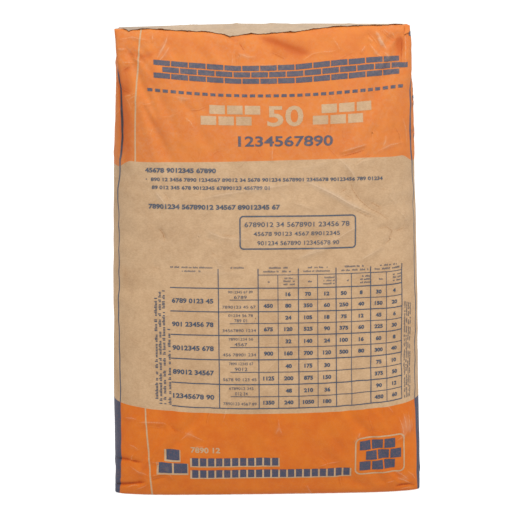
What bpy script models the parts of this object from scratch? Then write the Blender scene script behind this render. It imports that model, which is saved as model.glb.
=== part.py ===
"""A filled paper cement sack of 50 kg, standing on its bottom end.

The sack is a tube of kraft paper. Each end is opened into a flat rectangle, folded shut and
covered by a pasted strip of pale paper. Filled, the tube swells: it is a rectangle where it meets
its ends and a fat oval between them, so the body is a loft between those unlike sections.

Units are metres. +Z is up, the printed front faces -Y, and the origin is under the middle.
"""

import math

import bmesh
import bpy
from mathutils import Vector

# The whole sack
HEIGHT = 0.640
BELLY_WIDTH = 0.4225
BELLY_DEPTH = 0.157
BELLY_HEIGHT = 0.40  # where it is fattest, as a share of the height
BELLY_REACH = 3.2  # how far from there it stays fat: more is further
BELLY_FALL = 0.62  # how suddenly it narrows at the ends: less is more suddenly
UPPER_SLIMNESS = 0.87  # share of the swelling's extra width that is gone at the top
TOP_LEAN = -0.0055  # the top end sits this much to the left of the bottom end
LEAN_PIVOT = 0.122  # share of the height that stays over the origin, which centres the sack's box

# The two rectangular ends
BOTTOM_WIDTH = 0.420
BOTTOM_DEPTH = 0.104
TOP_WIDTH = 0.390
TOP_DEPTH = 0.095
TOP_PINCH = 0.28  # how much less deep the top end is at its left and right corners
BOTTOM_PINCH = 0.06
RIM_DROP = 0.010  # the top's front and back folds hang lower at mid width than at the corners

# How square a section is: 2 is an oval, and a large number is a rectangle
BELLY_SQUARENESS = 2.75
BOTTOM_SQUARENESS = 6.0
TOP_SQUARENESS = 14.0

# The pasted cover strips
STRIP_THICKNESS = 0.001
STRIP_INSET = 0.10  # share of the end's outermost mesh step that stays bare
STRIP_WAVE = 0.12  # how much more of it stays bare where the hand-cut front edge wanders in
STRIP_WAVES = ((9.0, 0.0, 1.0), (23.0, 1.0, 0.6))  # rate, start and size of the waves it is made of
GLUE_GAP = 0.0003

# Mesh steps across, front to back and up
STEPS_ACROSS = 20
STEPS_DEEP = 8
STEPS_UP = 22

KRAFT = (0.59, 0.39, 0.20, 1.0)
PALE_KRAFT = (0.64, 0.49, 0.32, 1.0)

BODY_FOOT = STRIP_THICKNESS + GLUE_GAP


def clear_scene():
    for obj in list(bpy.data.objects):
        bpy.data.objects.remove(obj, do_unlink=True)


def paper(name, colour, roughness):
    material = bpy.data.materials.new(name)
    material.use_nodes = True
    shader = material.node_tree.nodes["Principled BSDF"]
    shader.inputs["Base Color"].default_value = colour
    shader.inputs["Roughness"].default_value = roughness
    shader.inputs["Metallic"].default_value = 0.0
    return material


def swell(rise):
    """How far the section at this share of the height has swollen: 0 at the ends, 1 at the belly."""
    if rise < BELLY_HEIGHT:
        away = 1.0 - rise / BELLY_HEIGHT
    else:
        away = (rise - BELLY_HEIGHT) / (1.0 - BELLY_HEIGHT)
    return (1.0 - away**BELLY_REACH) ** BELLY_FALL


def blend(start, end, share):
    return start + (end - start) * share


def section(rise):
    """Half width, half depth, squareness and pinch of the section at this share of the height."""
    full = swell(rise)
    wider = full * (1.0 - UPPER_SLIMNESS * rise)
    half_width = blend(blend(BOTTOM_WIDTH, TOP_WIDTH, rise), BELLY_WIDTH, wider) / 2
    half_depth = blend(blend(BOTTOM_DEPTH, TOP_DEPTH, rise), BELLY_DEPTH, full) / 2
    squareness = blend(blend(BOTTOM_SQUARENESS, TOP_SQUARENESS, rise), BELLY_SQUARENESS, full)
    pinch = blend(blend(BOTTOM_PINCH, TOP_PINCH, rise), 0.0, full)
    return half_width, half_depth, squareness, pinch


def top_surface(across, deep):
    """Height of the domed top end, whose front and back folds sag between the corners."""
    return HEIGHT - STRIP_THICKNESS - GLUE_GAP - RIM_DROP * deep**2 * (1.0 - across**2)


def corner_rounding(across, deep, squareness):
    """How much a point of the square section moves in, so that the section's corners are round."""
    reach = max(abs(across), abs(deep))
    if reach == 0.0:
        return 1.0
    return (abs(across / reach) ** squareness + abs(deep / reach) ** squareness) ** (-1.0 / squareness)


def on_sack(across, deep, rise):
    """Moves a point of the block from -1 to 1 across and deep, and 0 to 1 up, onto the sack."""
    half_width, half_depth, squareness, pinch = section(rise)
    rounding = corner_rounding(across, deep, squareness)
    x = half_width * across * rounding
    y = half_depth * deep * rounding * (1.0 - pinch * across**2)
    z = blend(BODY_FOOT, top_surface(across, deep), rise)
    return x + TOP_LEAN * (rise - LEAN_PIVOT), y, z


def spaced(share):
    """Steps from 0 to 1 that are closer together near both ends."""
    return (1.0 - math.cos(math.pi * share)) / 2


def cut_block():
    """A cube from -1 to 1, cut into the sack's mesh steps."""
    block = bmesh.new()
    bmesh.ops.create_cube(block, size=2.0)
    for axis, steps in ((0, STEPS_ACROSS), (1, STEPS_DEEP), (2, STEPS_UP)):
        along = []
        for edge in block.edges:
            run = edge.verts[1].co - edge.verts[0].co
            if abs(run[axis]) > 1e-4:
                along.append(edge)
        bmesh.ops.subdivide_edges(block, edges=along, cuts=steps - 1, use_grid_fill=True)
    return block


def finish(name, shape, material, collection):
    """Splits every face the same way, so that a strip lies flat on the facets under it."""
    bmesh.ops.triangulate(shape, faces=shape.faces, quad_method="FIXED")
    mesh = bpy.data.meshes.new(name)
    shape.to_mesh(mesh)
    shape.free()
    mesh.materials.append(material)
    mesh.shade_smooth()
    mesh.set_sharp_from_angle(angle=math.radians(40))
    obj = bpy.data.objects.new(name, mesh)
    collection.objects.link(obj)
    return obj


def make_sack(collection, material):
    """The filled tube with its folded ends: the cut block, each point moved onto the sack."""
    block = cut_block()
    for vert in block.verts:
        across, deep, up = vert.co
        vert.co = on_sack(across, deep, spaced((up + 1.0) / 2))
    return finish("sack", block, material, collection)


def strip_wander(across):
    """The slight wander of the cover strip's hand-cut front edge, from 0 to 1."""
    total = sum(size * math.sin(rate * across + start) for rate, start, size in STRIP_WAVES)
    return 0.5 + total / (2.0 * sum(size for _, _, size in STRIP_WAVES))


def short_of_rim(point, steps, bare):
    """Splits a place from -1 to 1 into the mesh line before the rim and the share of the last step."""
    last_line = 1.0 - 2.0 / steps
    if abs(point) <= last_line + 1e-4:
        return point, 0.0
    return math.copysign(last_line, point), 1.0 - bare


def on_end(across, deep, rise):
    """A point of a cover strip, which stops short of the rim on the flat facets of the end."""
    bare = STRIP_INSET + (STRIP_WAVE * strip_wander(across) if deep < 0.0 else 0.0)
    inner_across, share_across = short_of_rim(across, STEPS_ACROSS, STRIP_INSET)
    inner_deep, share_deep = short_of_rim(deep, STEPS_DEEP, bare)
    near = Vector(on_sack(inner_across, inner_deep, rise)).lerp(on_sack(across, inner_deep, rise), share_across)
    far = Vector(on_sack(inner_across, deep, rise)).lerp(on_sack(across, deep, rise), share_across)
    return near.lerp(far, share_deep)


def make_strip(name, collection, material, rise, lift):
    """A pasted strip: the block's end face laid on the sack's end, then given its thickness."""
    sheet = cut_block()
    level = 1.0 if rise else -1.0
    elsewhere = [vert for vert in sheet.verts if abs(vert.co.z - level) > 1e-4]
    bmesh.ops.delete(sheet, geom=elsewhere, context="VERTS")
    for vert in sheet.verts:
        across, deep, _ = vert.co
        vert.co = on_end(across, deep, rise)
        vert.co.z += lift
    obj = finish(name, sheet, material, collection)
    wall = obj.modifiers.new("Paper thickness", "SOLIDIFY")
    wall.thickness = STRIP_THICKNESS
    wall.offset = 1.0
    return obj


def main():
    clear_scene()
    collection = bpy.data.collections.new("cement_sack")
    bpy.context.scene.collection.children.link(collection)
    kraft = paper("kraft_paper", KRAFT, 0.85)
    pale = paper("cover_paper", PALE_KRAFT, 0.9)
    make_sack(collection, kraft)
    make_strip("top_strip", collection, pale, 1.0, GLUE_GAP)
    make_strip("bottom_strip", collection, pale, 0.0, -GLUE_GAP)


main()
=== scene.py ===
# %% [markdown]
# A filled 50 kg cement sack in Blender.
# The real thing is one tube of kraft paper, opened and folded into a flat rectangle at each end,
# with a pale strip pasted over each end. The frame below holds those three solids at their real
# size. This lesson gives them their looks: a sheet that knows its own flat coordinates, creases
# pressed into it, ink laid on it, and the dust of the works.

import math

import bmesh
import bpy
import numpy as np
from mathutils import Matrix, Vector
from mathutils import noise as noise_of


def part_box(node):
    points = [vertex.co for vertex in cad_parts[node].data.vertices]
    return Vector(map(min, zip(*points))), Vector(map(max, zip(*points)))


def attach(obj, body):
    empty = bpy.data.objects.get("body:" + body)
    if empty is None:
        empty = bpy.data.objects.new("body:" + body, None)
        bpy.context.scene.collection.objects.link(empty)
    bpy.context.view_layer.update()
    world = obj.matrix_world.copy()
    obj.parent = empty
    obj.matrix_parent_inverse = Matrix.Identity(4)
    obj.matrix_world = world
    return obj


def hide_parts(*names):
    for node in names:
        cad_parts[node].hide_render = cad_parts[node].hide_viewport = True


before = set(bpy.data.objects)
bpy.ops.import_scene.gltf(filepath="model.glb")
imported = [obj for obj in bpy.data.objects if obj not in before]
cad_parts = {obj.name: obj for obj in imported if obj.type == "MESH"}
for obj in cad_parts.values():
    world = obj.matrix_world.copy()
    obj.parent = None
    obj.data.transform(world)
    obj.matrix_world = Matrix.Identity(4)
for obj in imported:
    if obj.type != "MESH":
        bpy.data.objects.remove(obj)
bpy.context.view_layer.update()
SACK_LOW, SACK_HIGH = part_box("sack")

# %% [markdown]
# The camera comes first, because the print is judged through it. The photograph was taken from a
# little above the sack and slightly to its left, with a long lens, so the upright edges stay
# almost parallel. The distance is chosen, and the lens follows from the width in the picture.

# %% Place the camera
CAMERA_DISTANCE = 3.4
CAMERA_ELEVATION = math.radians(10.5)
CAMERA_SWING = math.radians(2.6)  # how far it stands to the sack's left
SENSOR = 0.036
FURTHEST_SEEN = 50.0
PICTURE_WIDTH_AT_SACK = 0.7126  # metres that the picture's width covers at the sack
AIM = Vector((-0.0094, 0.0, 0.3184))


def in_scene(name, data):
    made = bpy.data.objects.new(name, data)
    bpy.context.scene.collection.objects.link(made)
    return made


def place_camera():
    data = bpy.data.cameras.new("camera")
    data.sensor_width = SENSOR * 1000
    data.lens = SENSOR * 1000 * CAMERA_DISTANCE / PICTURE_WIDTH_AT_SACK
    data.clip_end = FURTHEST_SEEN
    camera = in_scene("camera", data)
    level, left, front = math.cos(CAMERA_ELEVATION), math.sin(CAMERA_SWING), math.cos(CAMERA_SWING)
    away = Vector((-left * level, -front * level, math.sin(CAMERA_ELEVATION)))
    camera.location = AIM + away * CAMERA_DISTANCE
    camera.rotation_euler = (-away).to_track_quat("-Z", "Y").to_euler()
    bpy.context.scene.camera = camera
    return camera


camera = place_camera()
print("camera at", [round(x, 3) for x in camera.location], "lens", round(camera.data.lens, 1))

# %% [markdown]
# A studio: a white floor that runs on out of sight, a soft light high in front and a little to
# the right, a weaker one behind, and a sky that is brighter above than below. The photograph was
# lit from above and stands on pure white, so here the floor glows evenly, and the sky's lower half
# does the lighting from below.

# %% Build the studio
FLOOR_SIZE = 60.0
FLOOR_GREY, FLOOR_ROUGHNESS = 0.30, 0.9
WHITE = (1.0, 1.0, 1.0, 1.0)
LIGHTS = (
    # name, place, size, power in watts
    ("key_light", (0.45, -2.1, 2.9), 0.8, 60.0),
    ("back_light", (-1.2, 2.2, 2.4), 1.2, 34.0),
)
SKY_BELOW, SKY_ABOVE = 0.69, 0.76
FLOOR_GLOW = 0.90


def plain_material(name, colour, roughness):
    material = bpy.data.materials.new(name)
    material.use_nodes = True
    shader = material.node_tree.nodes["Principled BSDF"]
    shader.inputs["Base Color"].default_value = (*colour, 1.0)
    shader.inputs["Roughness"].default_value = roughness
    return material


def build_studio():
    bpy.ops.mesh.primitive_plane_add(size=FLOOR_SIZE)
    floor = bpy.context.object
    floor.name = "studio_floor"
    white = plain_material("pale_floor", (FLOOR_GREY,) * 3, FLOOR_ROUGHNESS)
    shader = white.node_tree.nodes["Principled BSDF"]
    shader.inputs["Emission Color"].default_value = WHITE
    shader.inputs["Emission Strength"].default_value = FLOOR_GLOW
    floor.data.materials.append(white)
    floor.visible_diffuse = False
    for name, place, size, power in LIGHTS:
        data = bpy.data.lights.new(name, "AREA")
        data.size = size
        data.energy = power
        light = in_scene(name, data)
        light.location = place
        light.rotation_euler = (AIM - Vector(place)).to_track_quat("-Z", "Y").to_euler()
    world = bpy.data.worlds.new("studio_sky")
    world.use_nodes = True
    nodes, links = world.node_tree.nodes, world.node_tree.links
    nodes["Background"].inputs["Color"].default_value = WHITE
    way = nodes.new("ShaderNodeSeparateXYZ")
    links.new(nodes.new("ShaderNodeTexCoord").outputs["Generated"], way.inputs["Vector"])
    brightness = nodes.new("ShaderNodeMapRange")
    links.new(way.outputs["Z"], brightness.inputs["Value"])
    for name, value in (("From Min", -1.0), ("From Max", 1.0), ("To Min", SKY_BELOW), ("To Max", SKY_ABOVE)):
        brightness.inputs[name].default_value = value
    links.new(brightness.outputs["Result"], nodes["Background"].inputs["Strength"])
    bpy.context.scene.world = world
    bpy.context.scene.view_settings.view_transform = "Standard"


build_studio()
print("lights:", [row[0] for row in LIGHTS])

# %% [markdown]
# The sack's form. Seen from above, a section is a rectangle at both ends and a fat oval at the
# belly. One formula covers both: |x|^n + |y|^n = 1 is an oval at n = 2 and a rectangle when n is
# large. The sizes come from the solids, so the fine form fits them.

# %% Sections of the sack
HEIGHT = SACK_HIGH.z - SACK_LOW.z
FOOT = SACK_LOW.z
UNREACHED = 0.0010  # the full swelling is this much wider than any section gets
BELLY_WIDTH = SACK_HIGH.x - SACK_LOW.x + UNREACHED
BELLY_DEPTH = SACK_HIGH.y - SACK_LOW.y
BELLY_HEIGHT = 0.40
BELLY_REACH, BELLY_FALL = 3.2, 0.62  # how far it stays fat, and how suddenly it then narrows
UPPER_SLIMNESS = 0.87
BOTTOM_WIDTH, BOTTOM_DEPTH = 0.420, 0.104
TOP_WIDTH, TOP_DEPTH = 0.390, 0.095
TOP_PINCH, BOTTOM_PINCH = 0.28, 0.06
RIM_DROP = 0.010
BELLY_SQUARENESS, BOTTOM_SQUARENESS, TOP_SQUARENESS = 2.75, 6.0, 14.0
TOP_LEAN, LEAN_PIVOT = -0.0055, 0.122
NEARLY_ZERO, AT_MIDDLE = 1e-9, 1e-6  # keep the formula from dividing by zero in the middle of an end


def blend(start, end, share):
    return start + (end - start) * share


def swell(rise):
    """0 at the ends and 1 at the belly."""
    below = 1.0 - rise / BELLY_HEIGHT
    above = (rise - BELLY_HEIGHT) / (1.0 - BELLY_HEIGHT)
    away = np.where(rise < BELLY_HEIGHT, below, above)
    return (1.0 - np.clip(away, 0.0, 1.0) ** BELLY_REACH) ** BELLY_FALL


def on_sack(across, deep, rise):
    """Places points of a block, -1 to 1 across and deep and 0 to 1 up, on the filled sack."""
    full = swell(rise)
    wider = full * (1.0 - UPPER_SLIMNESS * rise)
    half_width = blend(blend(BOTTOM_WIDTH, TOP_WIDTH, rise), BELLY_WIDTH, wider) / 2
    half_depth = blend(blend(BOTTOM_DEPTH, TOP_DEPTH, rise), BELLY_DEPTH, full) / 2
    squareness = blend(blend(BOTTOM_SQUARENESS, TOP_SQUARENESS, rise), BELLY_SQUARENESS, full)
    pinch = blend(blend(BOTTOM_PINCH, TOP_PINCH, rise), 0.0, full)
    reach = np.maximum(np.maximum(np.abs(across), np.abs(deep)), NEARLY_ZERO)
    corner = np.abs(across / reach) ** squareness + np.abs(deep / reach) ** squareness
    rounding = np.where(reach > AT_MIDDLE, np.maximum(corner, NEARLY_ZERO) ** (-1.0 / squareness), 1.0)
    x = half_width * across * rounding + TOP_LEAN * (rise - LEAN_PIVOT)
    y = half_depth * deep * rounding * (1.0 - pinch * across**2)
    top = FOOT + HEIGHT - RIM_DROP * deep**2 * (1.0 - across**2)
    return np.stack([x, y, blend(FOOT, top, rise)], axis=-1)


belly = on_sack(np.array([0.0]), np.array([-1.0]), np.array([BELLY_HEIGHT]))[0]
print("front of the belly at", belly.round(4))

# %% [markdown]
# The top end isn't flat. Its front fold sags at the left of the middle and stands up at the
# right, where the cement has settled less, and the middle of the end is crowned. Three lines
# from left to right describe it, and between them the paper bends like an arch.

# %% The folds of the top end
RIM_STATIONS = np.linspace(-1.0, 1.0, 21)
# Millimetres above the flat end at those stations
FRONT_FOLD = (0.3, -0.8, 0.5, -0.5, -1.5, -2.5, -3.0, -5.0, -6.5, -6.2, -5.5,
              -4.2, -3.5, -1.0, 1.3, 2.8, 3.3, 4.0, 4.0, 4.7, 4.3)
MIDDLE_LINE = (-1.5, -1.0, -0.5, 0.3, 1.0, 1.6, 2.2, 2.6, 2.9, 3.0, 3.0,
               3.0, 3.0, 2.9, 2.8, 2.6, 2.4, 2.2, 2.0, 1.8, 1.6)
BACK_FOLD = (-5.0, -4.5, -4.2, -5.1, -6.4, -7.5, -8.4, -9.1, -9.6, -9.9, -10.0,
             -9.9, -9.6, -9.1, -8.4, -7.5, -6.4, -5.1, -3.6, -2.5, -1.5)
FOLD_REACH = 0.86  # share of the height above which the walls follow the folds


def smooth(value, low, high):
    share = np.clip((value - low) / (high - low), 0.0, 1.0)
    return share * share * (3.0 - 2.0 * share)


def end_lift(across, deep, rise):
    """How far the folds of the top end lift a point, in metres."""
    lines = (FRONT_FOLD, MIDDLE_LINE, BACK_FOLD)
    front, middle, back = (np.interp(across, RIM_STATIONS, line) for line in lines)
    wanted = blend(middle, np.where(deep < 0.0, front, back), deep**2) / 1000
    plain = -RIM_DROP * deep**2 * (1.0 - across**2)
    return (wanted - plain) * smooth(rise, FOLD_REACH, 1.0)


print("front fold lies", min(FRONT_FOLD), "to", max(FRONT_FOLD), "mm above the flat end")

# %% [markdown]
# Where the tube was folded into its end, the corners of the rectangle stand out as tips, and the
# old fold between front and side runs down from them. A tuck pulls the paper sideways along such
# a line, most on the line and less to both sides, which leaves a sharp edge with hollows by it.
# The other folds are creases: each is a path on the flat sheet with a height and a width, raised
# where the paper is pinched up and sunken where it gave way.

# %% Tucks and creases
TUCKS = (
    # metres round the tube, reach, direction, and pull in millimetres at some heights in metres
    (-0.1990, 0.022, (-1.0, -0.3), (0.480, 0.540, 0.575, 0.600, 0.613, 0.626, 0.639),
     (0.0, 1.2, 1.6, 2.4, 3.2, 4.2, 5.8)),
    (-0.2330, 0.030, (1.0, 0.0), (0.530, 0.556, 0.588, 0.639), (0.0, 0.9, 2.4, 2.0)),
    (0.1885, 0.014, (0.5, -1.0), (0.540, 0.580, 0.639), (0.0, 2.6, 2.2)),
    (-0.2640, 0.022, (-0.7, 0.7), (0.540, 0.639), (0.0, 4.0)),
    (0.2640, 0.022, (0.7, 0.7), (0.540, 0.639), (0.0, 4.0)),
    (-0.2120, 0.024, (-1.0, -0.7), (0.0, 0.010, 0.040, 0.100), (2.6, 2.6, 1.2, 0.0)),
    (0.2120, 0.024, (0.6, -0.8), (0.0, 0.010, 0.040, 0.100), (2.2, 2.2, 1.0, 0.0)),
)
CREASE_TABLE = (
    # height and width in millimetres, then pairs of millimetres round and up the sheet: the path
    # Under the top end, from left to right
    (0.7, 2.6, -198, 605, -185, 606),
    (0.6, 2.6, -193, 588, -175, 588),
    (0.5, 3.0, -196, 618, -176, 622, -152, 616),
    (-0.5, 6.0, -196, 575, -180, 582, -160, 596),
    (-1.0, 7.0, -187, 602, -178, 599, -166, 597, -154, 598, -142, 604),
    (0.5, 2.2, -151, 627, -150, 615),
    (0.8, 2.4, -129, 628, -134, 614, -141, 602, -146, 593),
    (0.6, 2.4, -126, 613, -134, 600, -143, 590),
    (-0.8, 5.0, -48, 631, -40, 627, -34, 624),
    (-1.0, 3.0, -34, 624, -29, 615, -26, 612),
    (-0.5, 2.2, -39, 612, -38, 591),
    (0.6, 3.0, -38, 610, -23, 604, -12, 604),
    (-1.6, 8.0, -15, 628, -4, 629, 14, 622, 33, 614, 54, 605, 63, 596),
    (-0.6, 4.0, 6, 611, 24, 602, 28, 598),
    (-0.4, 5.5, 79, 603, 94, 602, 102, 597),
    (0.6, 2.2, 127, 599, 135, 608),
    (-0.8, 2.2, 136, 626, 142, 619, 149, 610, 152, 606),
    (0.7, 2.5, 137, 618, 144, 611),
    (0.6, 2.5, 138, 610, 145, 601, 149, 596),
    (1.0, 2.6, 150, 624, 153, 614, 160, 604, 163, 599),
    (-0.7, 2.2, 155, 628, 163, 619, 173, 612),
    (0.6, 2.2, 158, 628, 167, 619),
    (0.7, 2.2, 147, 625, 151, 619),
    (0.8, 2.2, 150, 617, 156, 607),
    (0.6, 2.2, 169, 623, 174, 616),
    (0.6, 3.0, 145, 599, 155, 592),
    (0.8, 3.0, 158, 598, 165, 592, 168, 588),
    (-1.1, 7.0, 177, 624, 179, 610, 179, 598, 172, 591),
    (-0.8, 2.4, 183, 623, 184, 600, 184, 580),
    (0.7, 2.4, 187, 627, 188, 607, 188, 575),
    # The pinches at both sides, and the old folds between front and sides
    (-2.5, 6.0, -232, 587, -202, 583),
    (-2.5, 6.0, 203, 567, 232, 563),
    (-1.5, 3.5, -201, 588, -199, 545, -198, 509, -204, 465),
    (-1.0, 12.0, -186, 585, -187, 520, -192, 440),
    # The lower half of the top band
    (-0.5, 16.0, -147, 534, -142, 497, -121, 474),
    (-0.4, 2.6, -12, 485, -7, 475),
    (-0.4, 2.6, 9, 483, 19, 473),
    (-0.6, 2.2, 82, 486, 95, 473),
    (-1.1, 2.5, 95, 474, 115, 478, 134, 483),
    (0.8, 3.0, 97, 479, 116, 484, 137, 489),
    (0.6, 2.8, 146, 478, 166, 486, 190, 488),
    (-0.6, 2.4, 172, 512, 182, 498, 186, 480),
    (0.6, 2.4, 184, 520, 192, 502, 194, 482),
    (-0.6, 3.0, 115, 463, 126, 470, 146, 478),
    (0.5, 4.0, 117, 461, 130, 468, 146, 470),
    # Kraft, at the left
    (0.9, 4.0, -151, 429, -139, 413, -137, 404),
    (-0.7, 3.0, -137, 427, -131, 414),
    (-1.0, 3.5, -148, 380, -140, 370, -138, 359),
    (0.9, 4.0, -97, 418, -85, 419, -62, 424, -36, 428, -10, 432, 25, 437, 42, 445),
    (-0.5, 3.0, -101, 425, -89, 424),
    (0.5, 5.0, -45, 412, 3, 414, 30, 414),
    (0.8, 4.0, -86, 382, -75, 372, -59, 366, -40, 364, -17, 364),
    (-0.6, 3.0, -67, 372, -40, 369),
    (-0.7, 3.0, -84, 365, -71, 363),
    (-0.6, 3.0, -77, 349, -67, 341),
    (0.6, 4.0, -75, 343, -66, 329, -56, 325),
    (-0.6, 3.0, -157, 325, -145, 323),
    # Kraft, at the right, where two long folds cross
    (1.4, 4.0, 42, 445, 55, 440, 72, 432, 91, 422, 112, 409, 138, 396, 154, 391),
    (-0.9, 2.5, 107, 455, 112, 443, 115, 430, 124, 416, 138, 404, 154, 396, 167, 387, 177, 381),
    (0.9, 3.5, 95, 472, 105, 463, 113, 453, 118, 443, 120, 434),
    (-1.0, 2.5, 117, 403, 134, 394, 144, 392),
    (0.6, 4.0, 146, 389, 115, 376, 95, 364, 68, 351, 39, 337),
    (-0.8, 3.0, 144, 376, 163, 378, 173, 371, 168, 360, 155, 349),
    (0.7, 3.5, 159, 351, 139, 340, 123, 332),
    (-0.8, 2.5, 177, 370, 192, 373),
    (-0.9, 2.5, 136, 414, 150, 407, 157, 403),
    (0.6, 3.0, 176, 402, 190, 388, 200, 374),
    (-0.8, 2.2, 97, 427, 107, 432),
    (-0.8, 2.5, 105, 424, 114, 417),
    (-0.5, 3.0, 68, 443, 88, 439),
    (0.6, 5.0, 42, 454, 65, 462, 95, 471),
    (0.6, 3.0, 30, 414, 45, 410, 55, 406, 65, 400),
    (0.6, 4.0, 35, 335, 58, 344, 85, 351),
    # Under the table's ink
    (0.6, 5.0, -129, 320, -27, 318),
    (0.4, 4.0, 12, 315, 56, 308),
    (0.5, 4.0, -100, 263, -69, 254, -34, 247, -22, 242),
    (-0.4, 4.0, -22, 230, -10, 222, 22, 224),
    (0.4, 4.0, 16, 207, -5, 184),
    (-1.0, 12.0, -200, 326, -197, 281),
    # The foot, from left to right
    (0.6, 2.5, -203, 110, -189, 112, -181, 111),
    (0.6, 3.5, -182, 107, -169, 110, -154, 111, -144, 111, -137, 107),
    (-0.5, 3.0, -166, 105, -150, 104, -141, 107),
    (-0.6, 2.2, -135, 111, -127, 102, -126, 97),
    (0.5, 3.0, -124, 101, -105, 97, -93, 91, -86, 88),
    (-1.5, 1.8, -220, 50, -205, 53, -192, 54, -183, 52, -172, 52),
    (0.4, 3.0, -165, 53, -154, 53, -134, 42),
    (0.5, 3.0, -161, 33, -142, 38),
    (-0.8, 3.0, -164, 26, -150, 31, -139, 33),
    (-1.8, 2.0, -222, 12, -205, 16, -186, 19, -173, 22, -167, 24),
    (0.6, 2.6, -197, 11, -186, 16, -178, 16),
    (0.7, 2.2, 187, 118, 190, 103, 191, 89),
    (0.6, 2.4, 196, 118, 197, 99, 197, 82),
    (0.6, 2.2, 179, 114, 185, 98, 188, 78),
    (0.5, 2.2, 201, 106, 202, 89),
    (0.6, 2.4, 171, 35, 183, 29, 195, 18),
    (0.7, 2.4, 175, 24, 187, 19, 199, 11),
    (0.5, 2.6, 161, 17, 174, 19),
    (-1.3, 1.8, 172, 10, 183, 12, 196, 12, 206, 8),
    (0.6, 2.2, 180, 5, 193, 7, 202, 5),
)
CREASES = tuple((height, width, tuple(zip(path[::2], path[1::2]))) for height, width, *path in CREASE_TABLE)
print(len(TUCKS), "tucks and", len(CREASES), "creases placed by hand")

# %% [markdown]
# The back gets the front's creases, moved half way round the tube, and small ones are strewn over
# the whole sack, most near its folded ends. Their lot is seeded, so every run is the same.

# %% Creases behind, and small ones all over
# Millimetres round the tube from the front's middle to the back's, and to where the front ends
HALF_ROUND, FRONT_REACH = 450, 185
SMALL_CREASES, CREASE_SEED = 210, 11
SPREAD_AROUND, SPREAD_UP, SHEET_TOP = (-440, 440), (8, 615), 640  # millimetres on the sheet
NEAR_FOOT, NEAR_TOP = 60.0, 110.0  # millimetres over which they thin out from each end
EVERYWHERE = 0.10  # share of the places that is kept far from both ends
HALF_LENGTHS, BENDS = (5, 17), (-0.5, 0.5)  # millimetres from a crease's middle to its end, and radians
SMALL_HEIGHTS, SMALL_WIDTHS = (0.25, 0.60), (2.2, 4.5)  # millimetres


def creases_behind(rows):
    """The front's creases once more on the back, each shifted half way round the sack."""
    behind = []
    for height, width, path in rows:
        places = [place for place, _ in path]
        if max(places) < 0 and min(places) > -FRONT_REACH:
            behind.append((height, width, tuple((at + HALF_ROUND, up) for at, up in path)))
        elif min(places) > 0 and max(places) < FRONT_REACH:
            behind.append((height, width, tuple((at - HALF_ROUND, up) for at, up in path)))
    return tuple(behind)


def scattered_creases(count, seed):
    """Small creases all round the sack, as rows like the table's."""
    lot = np.random.default_rng(seed)
    rows = []
    while len(rows) < count:
        spot = np.array([lot.uniform(*SPREAD_AROUND), lot.uniform(*SPREAD_UP)])
        crowding = max(math.exp(-spot[1] / NEAR_FOOT), math.exp((spot[1] - SHEET_TOP) / NEAR_TOP))
        if lot.random() > EVERYWHERE + (1.0 - EVERYWHERE) * crowding:
            continue
        angle, bend = lot.uniform(0, math.pi), lot.uniform(*BENDS)
        half = lot.uniform(*HALF_LENGTHS)
        ends = [spot + half * np.array([math.cos(a), math.sin(a)]) for a in (angle, angle + math.pi + bend)]
        height = lot.choice((-1.0, 1.0)) * lot.uniform(*SMALL_HEIGHTS)
        rows.append((height, lot.uniform(*SMALL_WIDTHS), (tuple(ends[0]), tuple(spot), tuple(ends[1]))))
    return tuple(rows)


ALL_CREASES = CREASES + creases_behind(CREASES) + scattered_creases(SMALL_CREASES, CREASE_SEED)
print(len(ALL_CREASES), "creases in all,", SMALL_CREASES, "of them small")

# %% [markdown]
# A crease is highest on its path, where the paper bends with a small radius, and falls off to both
# sides and towards its ends. The tube's glued overlap at the back is one more step.

# %% Height of the creases, and pull of the tucks
CREASE_GAIN = 1.7  # stiff paper holds a fold this much higher than its mark on the surface suggests
CREASE_SOFTNESS = 0.0008  # radius of the paper's bend at a crease
CREASE_FADE = 3.5  # how late a crease fades towards its ends: more is later
SEAM_WIDTH, SEAM_STEP = 0.034, 0.0007  # the tube's glued overlap at the back


def along_path(around, along, path):
    """Distance of each point from a path, and the share of the path that lies before its nearest place."""
    points = np.array(path) / 1000
    runs = np.diff(points, axis=0)
    lengths = np.linalg.norm(runs, axis=1)
    before = np.concatenate([[0.0], np.cumsum(lengths)])
    nearest, share_before = np.full(around.shape, np.inf), np.zeros(around.shape)
    for start, run, length, done in zip(points, runs, lengths, before):
        off_around, off_along = around - start[0], along - start[1]
        share = np.clip((off_around * run[0] + off_along * run[1]) / length**2, 0.0, 1.0)
        distance = np.hypot(off_around - share * run[0], off_along - share * run[1])
        closer = distance < nearest
        nearest = np.where(closer, distance, nearest)
        share_before = np.where(closer, (done + share * length) / before[-1], share_before)
    return nearest, share_before


def crease_height(around, along):
    """The height of all creases, and of the glued seam's overlap, in metres."""
    total = np.zeros(around.shape)
    for height, width, path in ALL_CREASES:
        away, share = along_path(around, along, path)
        away = np.sqrt(away**2 + CREASE_SOFTNESS**2) - CREASE_SOFTNESS
        fade = 1.0 - np.abs(2.0 * share - 1.0) ** CREASE_FADE
        total += CREASE_GAIN * height / 1000 * np.exp(-away * 1000 / width) * fade
    from_seam = around.max(axis=1, keepdims=True) - around
    return total + SEAM_STEP * smooth(from_seam, 0.0, SEAM_WIDTH / 2) * (from_seam < SEAM_WIDTH)


def tuck_pull(around, height):
    """The sideways pull of all tucks, in metres."""
    total = np.zeros((*around.shape, 3))
    for at, reach, (sideways, forwards), heights, pulls in TUCKS:
        nearness = np.clip(1.0 - np.abs(around - at) / reach, 0.0, 1.0)
        pull = np.interp(height, heights, pulls) / 1000 * nearness
        total += pull[..., None] * np.array([sideways, forwards, 0.0])
    return total


print("the highest fold stands", round(CREASE_GAIN * max(row[0] for row in CREASES), 2), "mm up")

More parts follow.
